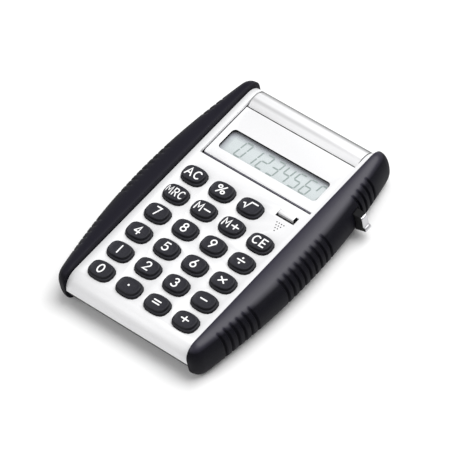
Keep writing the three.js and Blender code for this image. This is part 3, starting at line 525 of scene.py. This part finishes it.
def round_edges(bm, width, above=50, segments=2, where=None):
    """Rounds the edges that turn more than this many degrees."""
    sharp = [
        edge for edge in bm.edges
        if len(edge.link_faces) == 2 and edge.calc_face_angle() > math.radians(above)
        and (where is None or where(edge))
    ]
    bmesh.ops.bevel(
        bm, geom=sharp, offset=width, offset_type="OFFSET", affect="EDGES", segments=segments,
        profile=0.5, material=-1, clamp_overlap=True, loop_slide=True,
    )


def slice_across(bm, place, facing):
    """Cuts the faces along a plane, so that each side can have its own finish."""
    bmesh.ops.bisect_plane(
        bm, geom=[*bm.verts, *bm.edges, *bm.faces], dist=WELD, plane_co=place, plane_no=facing
    )


def turned(bm, points, edges, axis, centre, steps):
    """Spins a profile through a full turn and closes the seam."""
    bmesh.ops.spin(
        bm, geom=points + edges, axis=axis, cent=centre, angle=2 * math.pi, steps=steps, use_merge=True,
        use_duplicate=False,
    )
    bmesh.ops.remove_doubles(bm, verts=bm.verts, dist=WELD)
    bmesh.ops.recalc_face_normals(bm, faces=bm.faces)


def repaint(node, name):
    """Gives a frame node that stays a finish."""
    data = frame["nodes"][node].data
    data.materials.clear()
    data.materials.append(finish(name))


def power(value, exponent):
    """A power that keeps the sign."""
    return math.copysign(abs(value) ** exponent, value)


def block(bm, low, high):
    """Adds a box between two corners."""
    size = Vector(high) - Vector(low)
    place = Matrix.Translation((Vector(low) + Vector(high)) / 2) @ Matrix.Diagonal((*size, 1))
    return bmesh.ops.create_cube(bm, size=1, matrix=place)["verts"]


def disc(bm, radius, low, high, x, y, corners=24):
    """Adds an upright round bar."""
    place = Matrix.Translation((x, y, (low + high) / 2))
    return bmesh.ops.create_cone(
        bm, cap_ends=True, segments=corners, radius1=radius, radius2=radius, depth=high - low, matrix=place
    )["verts"]


def stroke_points(parts):
    """Corners of one stroke, with its arcs followed in short steps."""
    points = []
    for part in parts:
        if len(part) == 2:
            points.append(Vector(part))
            continue
        x, y, rx, ry, start, end = part
        steps = max(4, round(abs(end - start) / 24))
        for number in range(steps + 1):
            angle = math.radians(start + (end - start) * number / steps)
            points.append(Vector((x + rx * math.cos(angle), y + ry * math.sin(angle))))
    return points


def stroke_sides(points, width, closed):
    """Both edges of a stroke's outline, mitred at its corners."""
    left, right = [], []
    count = len(points)
    for number, here in enumerate(points):
        into = here - points[number - 1] if closed or number else points[1] - here
        out = points[(number + 1) % count] - here if closed or number + 1 < count else into
        into, out = into.normalized(), out.normalized()
        across = Vector((-(into + out).y, (into + out).x)).normalized()
        reach = width / 2 / max(across.dot(Vector((-into.y, into.x))), 0.6)
        left.append(here + across * reach)
        right.append(here - across * reach)
    return left, right


def round_end(centre, side, steps=6):
    """Points round the end of a stroke, from one side to the other."""
    arm = side - centre
    return [centre + Matrix.Rotation(-math.pi * step / steps, 2) @ arm for step in range(1, steps)]


def stroke(bm, points, width, low, high):
    """A flat raised stroke of even width with round ends."""
    if len(points) == 1:
        disc(bm, width * 0.75, low, high, *points[0], corners=16)
        return
    closed = (points[0] - points[-1]).length < 1e-9
    if closed:
        points = points[:-1]
    left, right = stroke_sides(points, width, closed)
    if closed:
        rings = [[bm.verts.new((*p, high)) for p in side] for side in (left, right)]
        count = len(points)
        faces = [
            bm.faces.new((rings[0][i], rings[0][(i + 1) % count], rings[1][(i + 1) % count], rings[1][i]))
            for i in range(count)
        ]
    else:
        outline = left + round_end(points[-1], left[-1]) + right[::-1] + round_end(points[0], right[0])
        faces = [bm.faces.new([bm.verts.new((*p, high)) for p in outline])]
    made = bmesh.ops.extrude_face_region(bm, geom=faces, use_keep_orig=True)["geom"]
    lowered = [vertex for vertex in made if isinstance(vertex, bmesh.types.BMVert)]
    bmesh.ops.translate(bm, verts=lowered, vec=(0, 0, low - high))


def legend(bm, text, centre, level, sizes):
    """Writes a legend in raised strokes, centred on a key; later strokes stand a hair higher."""
    height = sizes.legend_height * (1 if len(text) == 1 else 0.94)
    squeeze = 0.82 if len(text) == 3 else 1.0
    gap = 0.22
    wide = sum(SIGNS[sign][0] for sign in text) + gap * (len(text) - 1)
    x = -wide / 2
    count = 0
    for sign in text:
        share = SIGNS[sign][0]
        for parts in SIGNS[sign][1]:
            points = [
                Vector((centre.x + (x + p.x * share) * height * squeeze, centre.y + (p.y - 0.5) * height))
                for p in stroke_points(parts)
            ]
            width = sizes.legend_stroke * (1 if len(text) < 3 else 0.8)
            top = level + sizes.legend_raise + count * 0.004 * MM
            stroke(bm, points, width, level - 0.05 * MM, top)
            count += 1
        x += share + gap


# ---- Keys ---------------------------------------------------------------------------------------


def key_cap(node, sizes):
    """One key: flange, stepped skirt, rounded rim, dished top and legend."""
    low, high = BOX[node]
    centre = (low + high) / 2
    flange = (high.x - low.x) / 2
    narrow = (high.x - low.x - high.y + low.y) / 2
    base, top = flange - 0.4 * MM, high.z
    edge = base - 0.72 * MM
    ledge = FACE + 1.0 * MM
    inset = base - sizes.key_ledge
    profile = [
        (0, low.z), (flange, low.z), (flange, low.z + 0.8 * MM), (base, low.z + 0.8 * MM),
        (base, ledge - 0.16 * MM), (base - 0.05 * MM, ledge - 0.04 * MM), (base - 0.16 * MM, ledge),
        (inset, ledge), (inset - 0.06 * MM, ledge + 0.06 * MM), (edge, top - 0.22 * MM),
        (edge - 0.06 * MM, top - 0.06 * MM), (edge - 0.2 * MM, top),
        (edge - sizes.key_rim, top), (edge - sizes.key_rim - 0.15 * MM, top - sizes.key_dish * 0.85),
        (edge - 1.6 * MM, top - sizes.key_dish), (0, top - sizes.key_dish),
    ]
    bm = bmesh.new()
    points = [bm.verts.new((x, 0, z)) for x, z in profile]
    edges = [bm.edges.new(pair) for pair in zip(points, points[1:])]
    turned(bm, points, edges, (0, 0, 1), (0, 0, 0), 40)
    for vertex in bm.verts:
        half = math.hypot(vertex.co.x, vertex.co.y)
        angle = math.atan2(vertex.co.y, vertex.co.x)
        short = max(half - narrow, 0)
        vertex.co.x = half * power(math.cos(angle), 2 / KEY_SQUARENESS)
        vertex.co.y = short * power(math.sin(angle), 2 / KEY_SQUARENESS)
    bmesh.ops.remove_doubles(bm, verts=bm.verts, dist=WELD)
    bmesh.ops.translate(bm, verts=bm.verts, vec=(centre.x, centre.y, 0))
    before = len(bm.faces)
    legend(bm, LEGENDS[node], centre, top - sizes.key_dish, sizes)
    bm.faces.ensure_lookup_table()
    for face in bm.faces[before:]:
        face.material_index = 1
    bmesh.ops.recalc_face_normals(bm, faces=bm.faces[before:])
    piece(f"{node}_cap", bm, ["key_plastic", "legend_ink"], body_holding(node), [node])


# ---- Grips --------------------------------------------------------------------------------------


def grip_stations(sizes):
    """Places along a grip with the share of the groove depth that each has."""
    groups = ((-0.63, 6), (0.0, 9), (0.66, 4))
    groove = ((-0.72, 0), (-0.52, 0.25), (-0.3, 0.85), (0, 1), (0.3, 0.85), (0.52, 0.25), (0.72, 0))
    half = GRIP_HALF
    stations = {}
    for middle, count in groups:
        for number in range(count):
            y = middle * half + (number - (count - 1) / 2) * sizes.rib_pitch
            for offset, share in groove:
                stations[round(y + offset * MM, 6)] = share
    taken = sorted(stations)
    for number in range(1, 60):
        y = -half + number * half / 30
        if all(abs(y - other) > 1.0 * MM for other in taken):
            stations[round(y, 6)] = 0
    for share in (0, 0.03, 0.1, 0.22, 0.4, 0.65, 1.0, 1.4):
        y = half - share * GRIP_PLAN_ROUNDING
        stations[round(y, 6)] = stations[round(-y, 6)] = 0
    return sorted(stations.items())


def end_rounding(y, radius):
    """How far a rounded end draws in at this place along the grip."""
    past = max(abs(y) - (GRIP_HALF - radius), 0)
    return radius - math.sqrt(max(radius * radius - past * past, 0))


def grip_mesh(sizes, side):
    """A bowed rubber grip with grooves across its shoulder and side."""
    stations = grip_stations(sizes)
    corners = sizes.grip_rounds
    bm = bmesh.new()
    bmesh.ops.create_cone(bm, cap_ends=True, segments=corners, radius1=1, radius2=1, depth=1)
    upright = [edge for edge in bm.edges if abs(edge.verts[0].co.z - edge.verts[1].co.z) > 0.5]
    bmesh.ops.subdivide_edges(bm, edges=upright, cuts=len(stations) - 2, use_grid_fill=True)
    for vertex in bm.verts:
        y, share = stations[round((vertex.co.z + 0.5) * (len(stations) - 1))]
        turn = math.atan2(vertex.co.x, vertex.co.y) / (2 * math.pi)
        corner = round(turn * corners) % corners
        angle = math.pi * corner / (corners - 1)
        outward = max(math.sin(angle), 0) ** (2 / GRIP_SQUARENESS)
        bow = GRIP_END_WIDTH + (GRIP_BULGE - GRIP_END_WIDTH) * (1 - (y / GRIP_HALF) ** 2)
        bow -= end_rounding(y, GRIP_PLAN_ROUNDING)
        groove = sizes.groove_depth * share * min(1, max(0, (outward - 0.5) / 0.25)) * (angle < 2.4)
        width = bow * outward - groove * outward
        tall = GRIP_RISE - end_rounding(y, GRIP_SIDE_ROUNDING)
        rise = tall * power(math.cos(angle), 2 / GRIP_SQUARENESS)
        vertex.co = (side * (GRIP_INNER + width), y, GRIP_RISE + rise)
    bmesh.ops.recalc_face_normals(bm, faces=bm.faces)
    round_edges(bm, 0.4 * MM, above=60)
    return bm


def cut_out(target, bm, name):
    """Takes a shape out of a piece's mesh."""
    mesh = bpy.data.meshes.new(name)
    bm.to_mesh(mesh)
    bm.free()
    cutter = bpy.data.objects.new(name, mesh)
    bpy.context.scene.collection.objects.link(cutter)
    cut = target.modifiers.new("cut", "BOOLEAN")
    cut.operation, cut.solver, cut.object = "DIFFERENCE", "EXACT", cutter
    bpy.context.view_layer.update()
    done = bpy.data.meshes.new_from_object(target.evaluated_get(bpy.context.evaluated_depsgraph_get()))
    target.modifiers.clear()
    target.data = done
    bpy.data.objects.remove(cutter)


# ---- Operators ----------------------------------------------------------------------------------


class PieceOperator:
    """What every building step shares."""

    bl_options = {"REGISTER", "UNDO"}

    def execute(self, context):
        self.build(context.scene.calculator_sizes)
        return {"FINISHED"}


class CALCULATOR_OT_face(PieceOperator, bpy.types.Operator):
    """Builds the silver front frame with its softened edges"""

    bl_idname = "calculator.face"
    bl_label = "Front Frame"

    def build(self, sizes):
        bm = copy_of("front_frame")
        round_edges(
            bm, sizes.edge_round,
            where=lambda e: min(v.co.z for v in e.verts) > FACE - 6 * MM
            and max(abs(v.co.x) for v in e.verts) < GRIP_INNER,
        )
        self.darken(bm)
        finishes = ["silver_paint", "dark_lining_and_painted_shade"]
        piece("front_frame_shell", bm, finishes, "case", ["front_frame"])
        self.dots(sizes)

    def dots(self, sizes):
        """Prints the triangle of dots below the catch."""
        tab = BOX["release_tab"]
        centre = (tab[0] + tab[1]) / 2
        bm = bmesh.new()
        for row, count in enumerate((4, 3, 2, 1)):
            for number in range(count):
                x = centre.x + (number - (count - 1) / 2) * 1.05 * MM
                y = tab[0].y + 0.1 * MM - (row + 1.0) * 1.17 * MM
                disc(bm, sizes.dot_radius, FACE - 0.02 * MM, FACE + 0.015 * MM, x, y, 12)
        piece("guide_dots", bm, ["dark_lining_and_painted_shade"], "case")

    def darken(self, bm):
        """Gives the unpainted inside the dark finish, and paints shade in the same finish on the bay and the
        walls of the holes.
        """
        panel = BOX["display_panel"]
        nose = BOX["key_0"][0].y - 0.4 * MM
        bay_edge = panel[0].y - 1.2 * MM
        for level in (FACE - 0.25 * MM, panel[1].z):
            slice_across(bm, (0, 0, level), (0, 0, 1))
        for face in bm.faces:
            middle = face.calc_center_median()
            keypad = abs(middle.x) < 25.3 * MM and nose < middle.y < bay_edge
            bay = abs(middle.x) < 25.7 * MM and middle.y > bay_edge and middle.z < panel[1].z
            side = abs(middle.x) > BOX["front_frame"][1].x - 0.05 * MM
            if side or bay or (keypad and middle.z < FACE - 0.2 * MM):
                face.material_index = 1


class CALCULATOR_OT_display(PieceOperator, bpy.types.Operator):
    """Builds the display panel, its lens, glass and digits"""

    bl_idname = "calculator.display"
    bl_label = "Display"

    def build(self, sizes):
        bm = copy_of("display_panel")
        low, high = BOX["display_panel"]
        near = 0.01 * MM
        round_edges(
            bm, sizes.panel_lip, segments=5,
            where=lambda e: all(v.co.y < low.y + near and v.co.z > high.z - near for v in e.verts),
        )
        round_edges(bm, sizes.edge_round, where=lambda e: min(v.co.z for v in e.verts) > low.z + MM)
        self.darken(bm, sizes)
        finishes = ["silver_paint", "dark_lining_and_painted_shade", "lip_painted_shade"]
        piece("display_panel_shell", bm, finishes, "display", ["display_panel"])
        repaint("display_lens", "clear_lens")
        repaint("lcd_glass", "display_glass")
        repaint("display_back", "back_plastic")
        self.digits(sizes)

    def darken(self, bm, sizes):
        """Paints shade: the dark finish on the window's walls, on the seams at the front and at the barrel
        and on the panel's lower sides, and the lip colour on the upper rounding of the front lip.
        """
        low, high = BOX["display_panel"]
        barrel = BOX["hinge_drum"]
        radius, axis = (barrel[1].z - barrel[0].z) / 2, (barrel[0] + barrel[1]) / 2
        seam = axis.y - math.sqrt((radius + 0.2 * MM) ** 2 - (high.z - axis.z) ** 2) - 0.35 * MM
        shade_line = high.z - 0.3 * MM
        lip_line = high.z - sizes.panel_lip * 0.6
        slice_across(bm, (0, seam, 0), (0, 1, 0))
        for level in (shade_line, lip_line):
            slice_across(bm, (0, 0, level), (0, 0, 1))
        glass = BOX["lcd_glass"]
        for face in bm.faces:
            middle = face.calc_center_median()
            window = glass[0].x < middle.x < glass[1].x and glass[0].y < middle.y < glass[1].y
            wall = window and abs(face.normal.z) < 0.3
            front = middle.y < low.y + sizes.panel_lip
            if wall or middle.y > seam or middle.z < (lip_line if front else shade_line):
                face.material_index = 1
            elif front and middle.z < high.z - 0.06 * MM:
                face.material_index = 2

    def digits(self, sizes):
        """Draws a row of slanted seven-segment digits on the glass."""
        low, high = BOX["lcd_glass"]
        centre = (low + high) / 2
        wide, tall, line = sizes.digit_width / 2, sizes.digit_height / 2, sizes.digit_stroke
        ends = {
            "a": ((-wide, tall), (wide, tall)), "g": ((-wide, 0), (wide, 0)),
            "d": ((-wide, -tall), (wide, -tall)),
            "f": ((-wide, 0), (-wide, tall)), "b": ((wide, 0), (wide, tall)),
            "e": ((-wide, -tall), (-wide, 0)), "c": ((wide, -tall), (wide, 0)),
        }
        bm = bmesh.new()
        for number, digit in enumerate("01234567"):
            x = centre.x + 2.9 * MM + (number - 3.5) * sizes.digit_pitch
            for segment in SEGMENTS[digit]:
                self.segment(bm, ends[segment], line, (x, centre.y, high.z + 0.03 * MM))
        piece("display_digits", bm, ["digit_grey"], "display")

    def segment(self, bm, ends, line, place):
        """Adds one pointed bar of a digit."""
        start, end = Vector(ends[0]), Vector(ends[1])
        along = (end - start).normalized()
        start, end = start + along * line * 0.12, end - along * line * 0.12
        half = (end - start).length / 2
        outline = [(-half, 0), (line / 2 - half, -line / 2), (half - line / 2, -line / 2)]
        verts = [bm.verts.new((x * side, y * side, 0)) for side in (1, -1) for x, y in outline]
        bm.faces.new(verts)
        turn = math.atan2(along.y, along.x)
        bmesh.ops.rotate(bm, verts=verts, cent=(0, 0, 0), matrix=Matrix.Rotation(turn, 3, "Z"))
        middle = (start + end) / 2
        lean = math.tan(math.radians(9))
        for vertex in verts:
            x, y = vertex.co.x + middle.x, vertex.co.y + middle.y
            vertex.co = (place[0] + x + y * lean, place[1] + y, place[2])


class CALCULATOR_OT_hinge(PieceOperator, bpy.types.Operator):
    """Builds the hinge barrel and finishes the pin, cap and spring"""

    bl_idname = "calculator.hinge"
    bl_label = "Hinge"

    def build(self, sizes):
        low, high = BOX["hinge_drum"]
        radius = (high.z - low.z) / 2
        y, z = (low.y + high.y) / 2, (low.z + high.z) / 2
        bm = bmesh.new()
        soft = 0.35 * MM
        profile = [
            (low.x, 4.8 * MM), (low.x, radius - soft), (low.x + soft * 0.3, radius - soft * 0.3),
            (low.x + soft, radius), (high.x - soft, radius), (high.x - soft * 0.3, radius - soft * 0.3),
            (high.x, radius - soft), (high.x, 1.08 * MM), (high.x - 2 * MM, 1.08 * MM),
            (high.x - 2 * MM, 4.8 * MM),
        ]
        points = [bm.verts.new((x, y, z + r)) for x, r in profile]
        edges = [bm.edges.new((points[i], points[(i + 1) % len(points)])) for i in range(len(points))]
        turned(bm, points, edges, (1, 0, 0), (0, y, z), 96)
        # The barrel's flat end faces get the dark finish as painted shade.
        for face in bm.faces:
            face.material_index = int(abs(face.normal.x) > 0.9)
        piece("hinge_barrel", bm, ["drum_silver", "dark_lining_and_painted_shade"], "display", ["hinge_drum"])
        repaint("drum_cap", "back_plastic")
        repaint("hinge_pin", "steel")
        repaint("hinge_spring", "steel")


class CALCULATOR_OT_keys(PieceOperator, bpy.types.Operator):
    """Builds the twenty-three keys with their legends"""

    bl_idname = "calculator.keys"
    bl_label = "Keys"

    def build(self, sizes):
        for node in LEGENDS:
            key_cap(node, sizes)


class CALCULATOR_OT_grips(PieceOperator, bpy.types.Operator):
    """Builds the two ribbed side grips"""

    bl_idname = "calculator.grips"
    bl_label = "Side Grips"

    def build(self, sizes):
        made = {}
        for name, side in (("left", -1), ("right", 1)):
            bm, node = grip_mesh(sizes, side), f"{name}_grip"
            made[name] = piece(f"{node}_rubber", bm, ["grip_rubber"], "case", [node])
        self.lever_room(made["right"])

    def lever_room(self, right):
        """Cuts the lever's opening and the pocket for its pin."""
        low, high = BOX["side_lever"]
        pin = BOX["lever_pin"]
        gap, bottom = 0.35 * MM, low.z - 1.3 * MM
        bm = bmesh.new()
        block(bm, (GRIP_INNER + 3 * MM, low.y - gap, bottom), (high.x, high.y + gap, 12.05 * MM))
        cut_out(right, bm, "lever_opening")
        bm = bmesh.new()
        block(
            bm, (GRIP_INNER - MM, pin[0].y - gap, bottom),
            (pin[1].x + 1.45 * MM, pin[1].y + gap, 13.05 * MM),
        )
        cut_out(right, bm, "lever_pocket")
        for polygon in right.data.polygons:
            polygon.use_smooth = True


class CALCULATOR_OT_catch(PieceOperator, bpy.types.Operator):
    """Builds the sliding catch"""

    bl_idname = "calculator.catch"
    bl_label = "Catch"

    def build(self, sizes):
        bm = copy_of("release_tab")
        round_edges(bm, 0.12 * MM, where=lambda e: min(v.co.z for v in e.verts) > FACE)
        # Painted shade: the base plate below the face and the faces turned sideways get the dark finish, for
        # the shade in the slot.
        for face in bm.faces:
            under = face.calc_center_median().z < FACE - 0.5 * MM
            face.material_index = int(under or abs(face.normal.x) > 0.9)
        finishes = ["silver_paint", "dark_lining_and_painted_shade"]
        piece("release_catch", bm, finishes, "catch", ["release_tab"])


class CALCULATOR_OT_lever(PieceOperator, bpy.types.Operator):
    """Builds the side lever and finishes its pin and spring"""

    bl_idname = "calculator.lever"
    bl_label = "Side Lever"

    def build(self, sizes):
        bm = copy_of("side_lever")
        round_edges(bm, 0.25 * MM, where=lambda e: min(v.co.x for v in e.verts) > 36 * MM)
        # Painted shade: every face but the outward one gets the dark finish, standing in for the shade on the
        # lever's sides; only the outer face is steel.
        for face in bm.faces:
            face.material_index = int(face.normal.x < 0.35)
        piece("side_lever_paddle", bm, ["steel", "dark_lining_and_painted_shade"], "lever", ["side_lever"])
        repaint("lever_pin", "steel")
        repaint("lever_spring", "steel")


class CALCULATOR_OT_back(PieceOperator, bpy.types.Operator):
    """Builds the rear cover, the battery door and the screws"""

    bl_idname = "calculator.back"
    bl_label = "Back"

    def build(self, sizes):
        bm = copy_of("rear_cover")
        piece("rear_cover_shell", bm, ["back_plastic"], "case", ["rear_cover"])
        self.door()
        for number in range(1, 5):
            self.screw(f"case_screw_{number}")
        self.screw("door_screw")

    def door(self):
        """Builds the battery door with its thumb grooves."""
        bm = copy_of("battery_door")
        round_edges(bm, 0.2 * MM, where=lambda e: max(v.co.z for v in e.verts) < 0.05 * MM)
        door = piece("battery_door_panel", bm, ["back_plastic"], "case", ["battery_door"])
        back = BOX["battery_door"][1].y
        bm = bmesh.new()
        for number in range(5):
            y = back - (2.4 + 1.5 * number) * MM
            block(bm, (-6 * MM, y - 0.35 * MM, -MM), (6 * MM, y + 0.35 * MM, 0.35 * MM))
        cut_out(door, bm, "thumb_grooves")

    def screw(self, node):
        """Builds one screw with a crossed slot in its head."""
        low, high = BOX[node]
        centre = (low + high) / 2
        head = (high.x - low.x) / 2
        thick = (0.35 if node == "door_screw" else 1.2) * MM
        bm = bmesh.new()
        disc(bm, head, low.z, low.z + thick, centre.x, centre.y, 40)
        round_edges(bm, 0.12 * MM, segments=3)
        disc(bm, 0.8 * MM, low.z + thick - 0.01 * MM, high.z, centre.x, centre.y, 24)
        made = piece(f"{node}_steel", bm, ["steel"], "case", [node])
        deep = low.z + thick * 0.6
        for name, x, y in (("slot_across", 1.0 * MM, 0.2 * MM), ("slot_along", 0.2 * MM, 1.0 * MM)):
            bm = bmesh.new()
            block(bm, (centre.x - x, centre.y - y, low.z - MM), (centre.x + x, centre.y + y, deep))
            cut_out(made, bm, name)


class CALCULATOR_OT_inside(PieceOperator, bpy.types.Operator):
    """Finishes the board, mat, chip, connector, cell and contacts"""

    bl_idname = "calculator.inside"
    bl_label = "Inside Parts"

    def build(self, sizes):
        for node, name in (
            ("main_board", "board_green"), ("key_mat", "mat_rubber"), ("chip_blob", "back_plastic"),
            ("ribbon_connector", "legend_ink"), ("battery_cell", "steel"),
            ("battery_contact_side", "steel"), ("battery_contact_top", "steel"),
        ):
            repaint(node, name)


class CALCULATOR_OT_stage(PieceOperator, bpy.types.Operator):
    """Sets out the floor, the lights and the camera"""

    bl_idname = "calculator.stage"
    bl_label = "Stage"

    def build(self, sizes):
        bm = bmesh.new()
        bmesh.ops.create_grid(bm, x_segments=1, y_segments=1, size=3.0)
        mesh = bpy.data.meshes.new("floor")
        bm.to_mesh(mesh)
        bm.free()
        mesh.materials.append(finish("floor_paper"))
        floor = bpy.data.objects.new("floor", mesh)
        bpy.context.scene.collection.objects.link(floor)
        world = bpy.data.worlds.new("studio")
        world.use_nodes = True
        world.node_tree.nodes["Background"].inputs["Color"].default_value = (1, 1, 1, 1)
        world.node_tree.nodes["Background"].inputs["Strength"].default_value = 0.4
        bpy.context.scene.world = world
        self.light("key_light", (0.25, 0.4, 0.95), 0.9, 12.5)
        self.light("fill_light", (-0.5, -0.8, 0.8), 0.8, 3)
        self.camera()
        bpy.context.scene.view_settings.view_transform = "Standard"

    def light(self, name, place, size, watts):
        """Adds a square soft light aimed at the middle of the floor."""
        data = bpy.data.lights.new(name, "AREA")
        data.size, data.energy = size, watts
        lamp = bpy.data.objects.new(name, data)
        lamp.location = place
        lamp.rotation_mode = "QUATERNION"
        lamp.rotation_quaternion = (-Vector(place)).to_track_quat("-Z", "Y")
        bpy.context.scene.collection.objects.link(lamp)

    def camera(self):
        """Adds the camera, turned round, raised and leaned about the face's middle."""
        data = bpy.data.cameras.new("camera")
        data.sensor_width, data.lens = 36.0, 316.98
        data.clip_start, data.clip_end = 0.1, 20
        camera = bpy.data.objects.new("camera", data)
        around, above, lean = math.radians(49.7755), math.radians(51.6578), math.radians(-12.4495)
        level = math.cos(above)
        back = Vector((math.sin(around) * level, -math.cos(around) * level, math.sin(above)))
        target, distance = Vector((3.48 * MM, -3.04 * MM, FACE)), 1.39387
        camera.location = target + back * distance
        camera.rotation_mode = "QUATERNION"
        camera.rotation_quaternion = (-back).to_track_quat("-Z", "Y") @ Quaternion((0, 0, 1), lean)
        bpy.context.scene.collection.objects.link(camera)
        bpy.context.scene.camera = camera


STEPS = (
    CALCULATOR_OT_stage, CALCULATOR_OT_face, CALCULATOR_OT_display, CALCULATOR_OT_hinge, CALCULATOR_OT_keys,
    CALCULATOR_OT_grips, CALCULATOR_OT_catch, CALCULATOR_OT_lever, CALCULATOR_OT_back, CALCULATOR_OT_inside,
)


class CALCULATOR_PT_pieces(bpy.types.Panel):
    """Lists the pieces of the calculator"""

    bl_idname = "CALCULATOR_PT_pieces"
    bl_label = "Pocket Calculator"
    bl_space_type = "VIEW_3D"
    bl_region_type = "UI"
    bl_category = "Calculator"

    def draw(self, context):
        for group in (context.scene.calculator_sizes, context.scene.calculator_colours):
            for name in group.__annotations__:
                self.layout.prop(group, name)
        for step in STEPS:
            self.layout.operator(step.bl_idname)


CLASSES = (CalculatorSizes, CalculatorColours, *STEPS, CALCULATOR_PT_pieces)


def register():
    for each in CLASSES:
        bpy.utils.register_class(each)
    bpy.types.Scene.calculator_sizes = PointerProperty(type=CalculatorSizes)
    bpy.types.Scene.calculator_colours = PointerProperty(type=CalculatorColours)


def unregister():
    del bpy.types.Scene.calculator_colours
    del bpy.types.Scene.calculator_sizes
    for each in reversed(CLASSES):
        bpy.utils.unregister_class(each)


def main():
    """Builds every piece."""
    register()
    for step in STEPS:
        group, name = step.bl_idname.split(".")
        getattr(getattr(bpy.ops, group), name)()


if __name__ == "__main__":
    main()
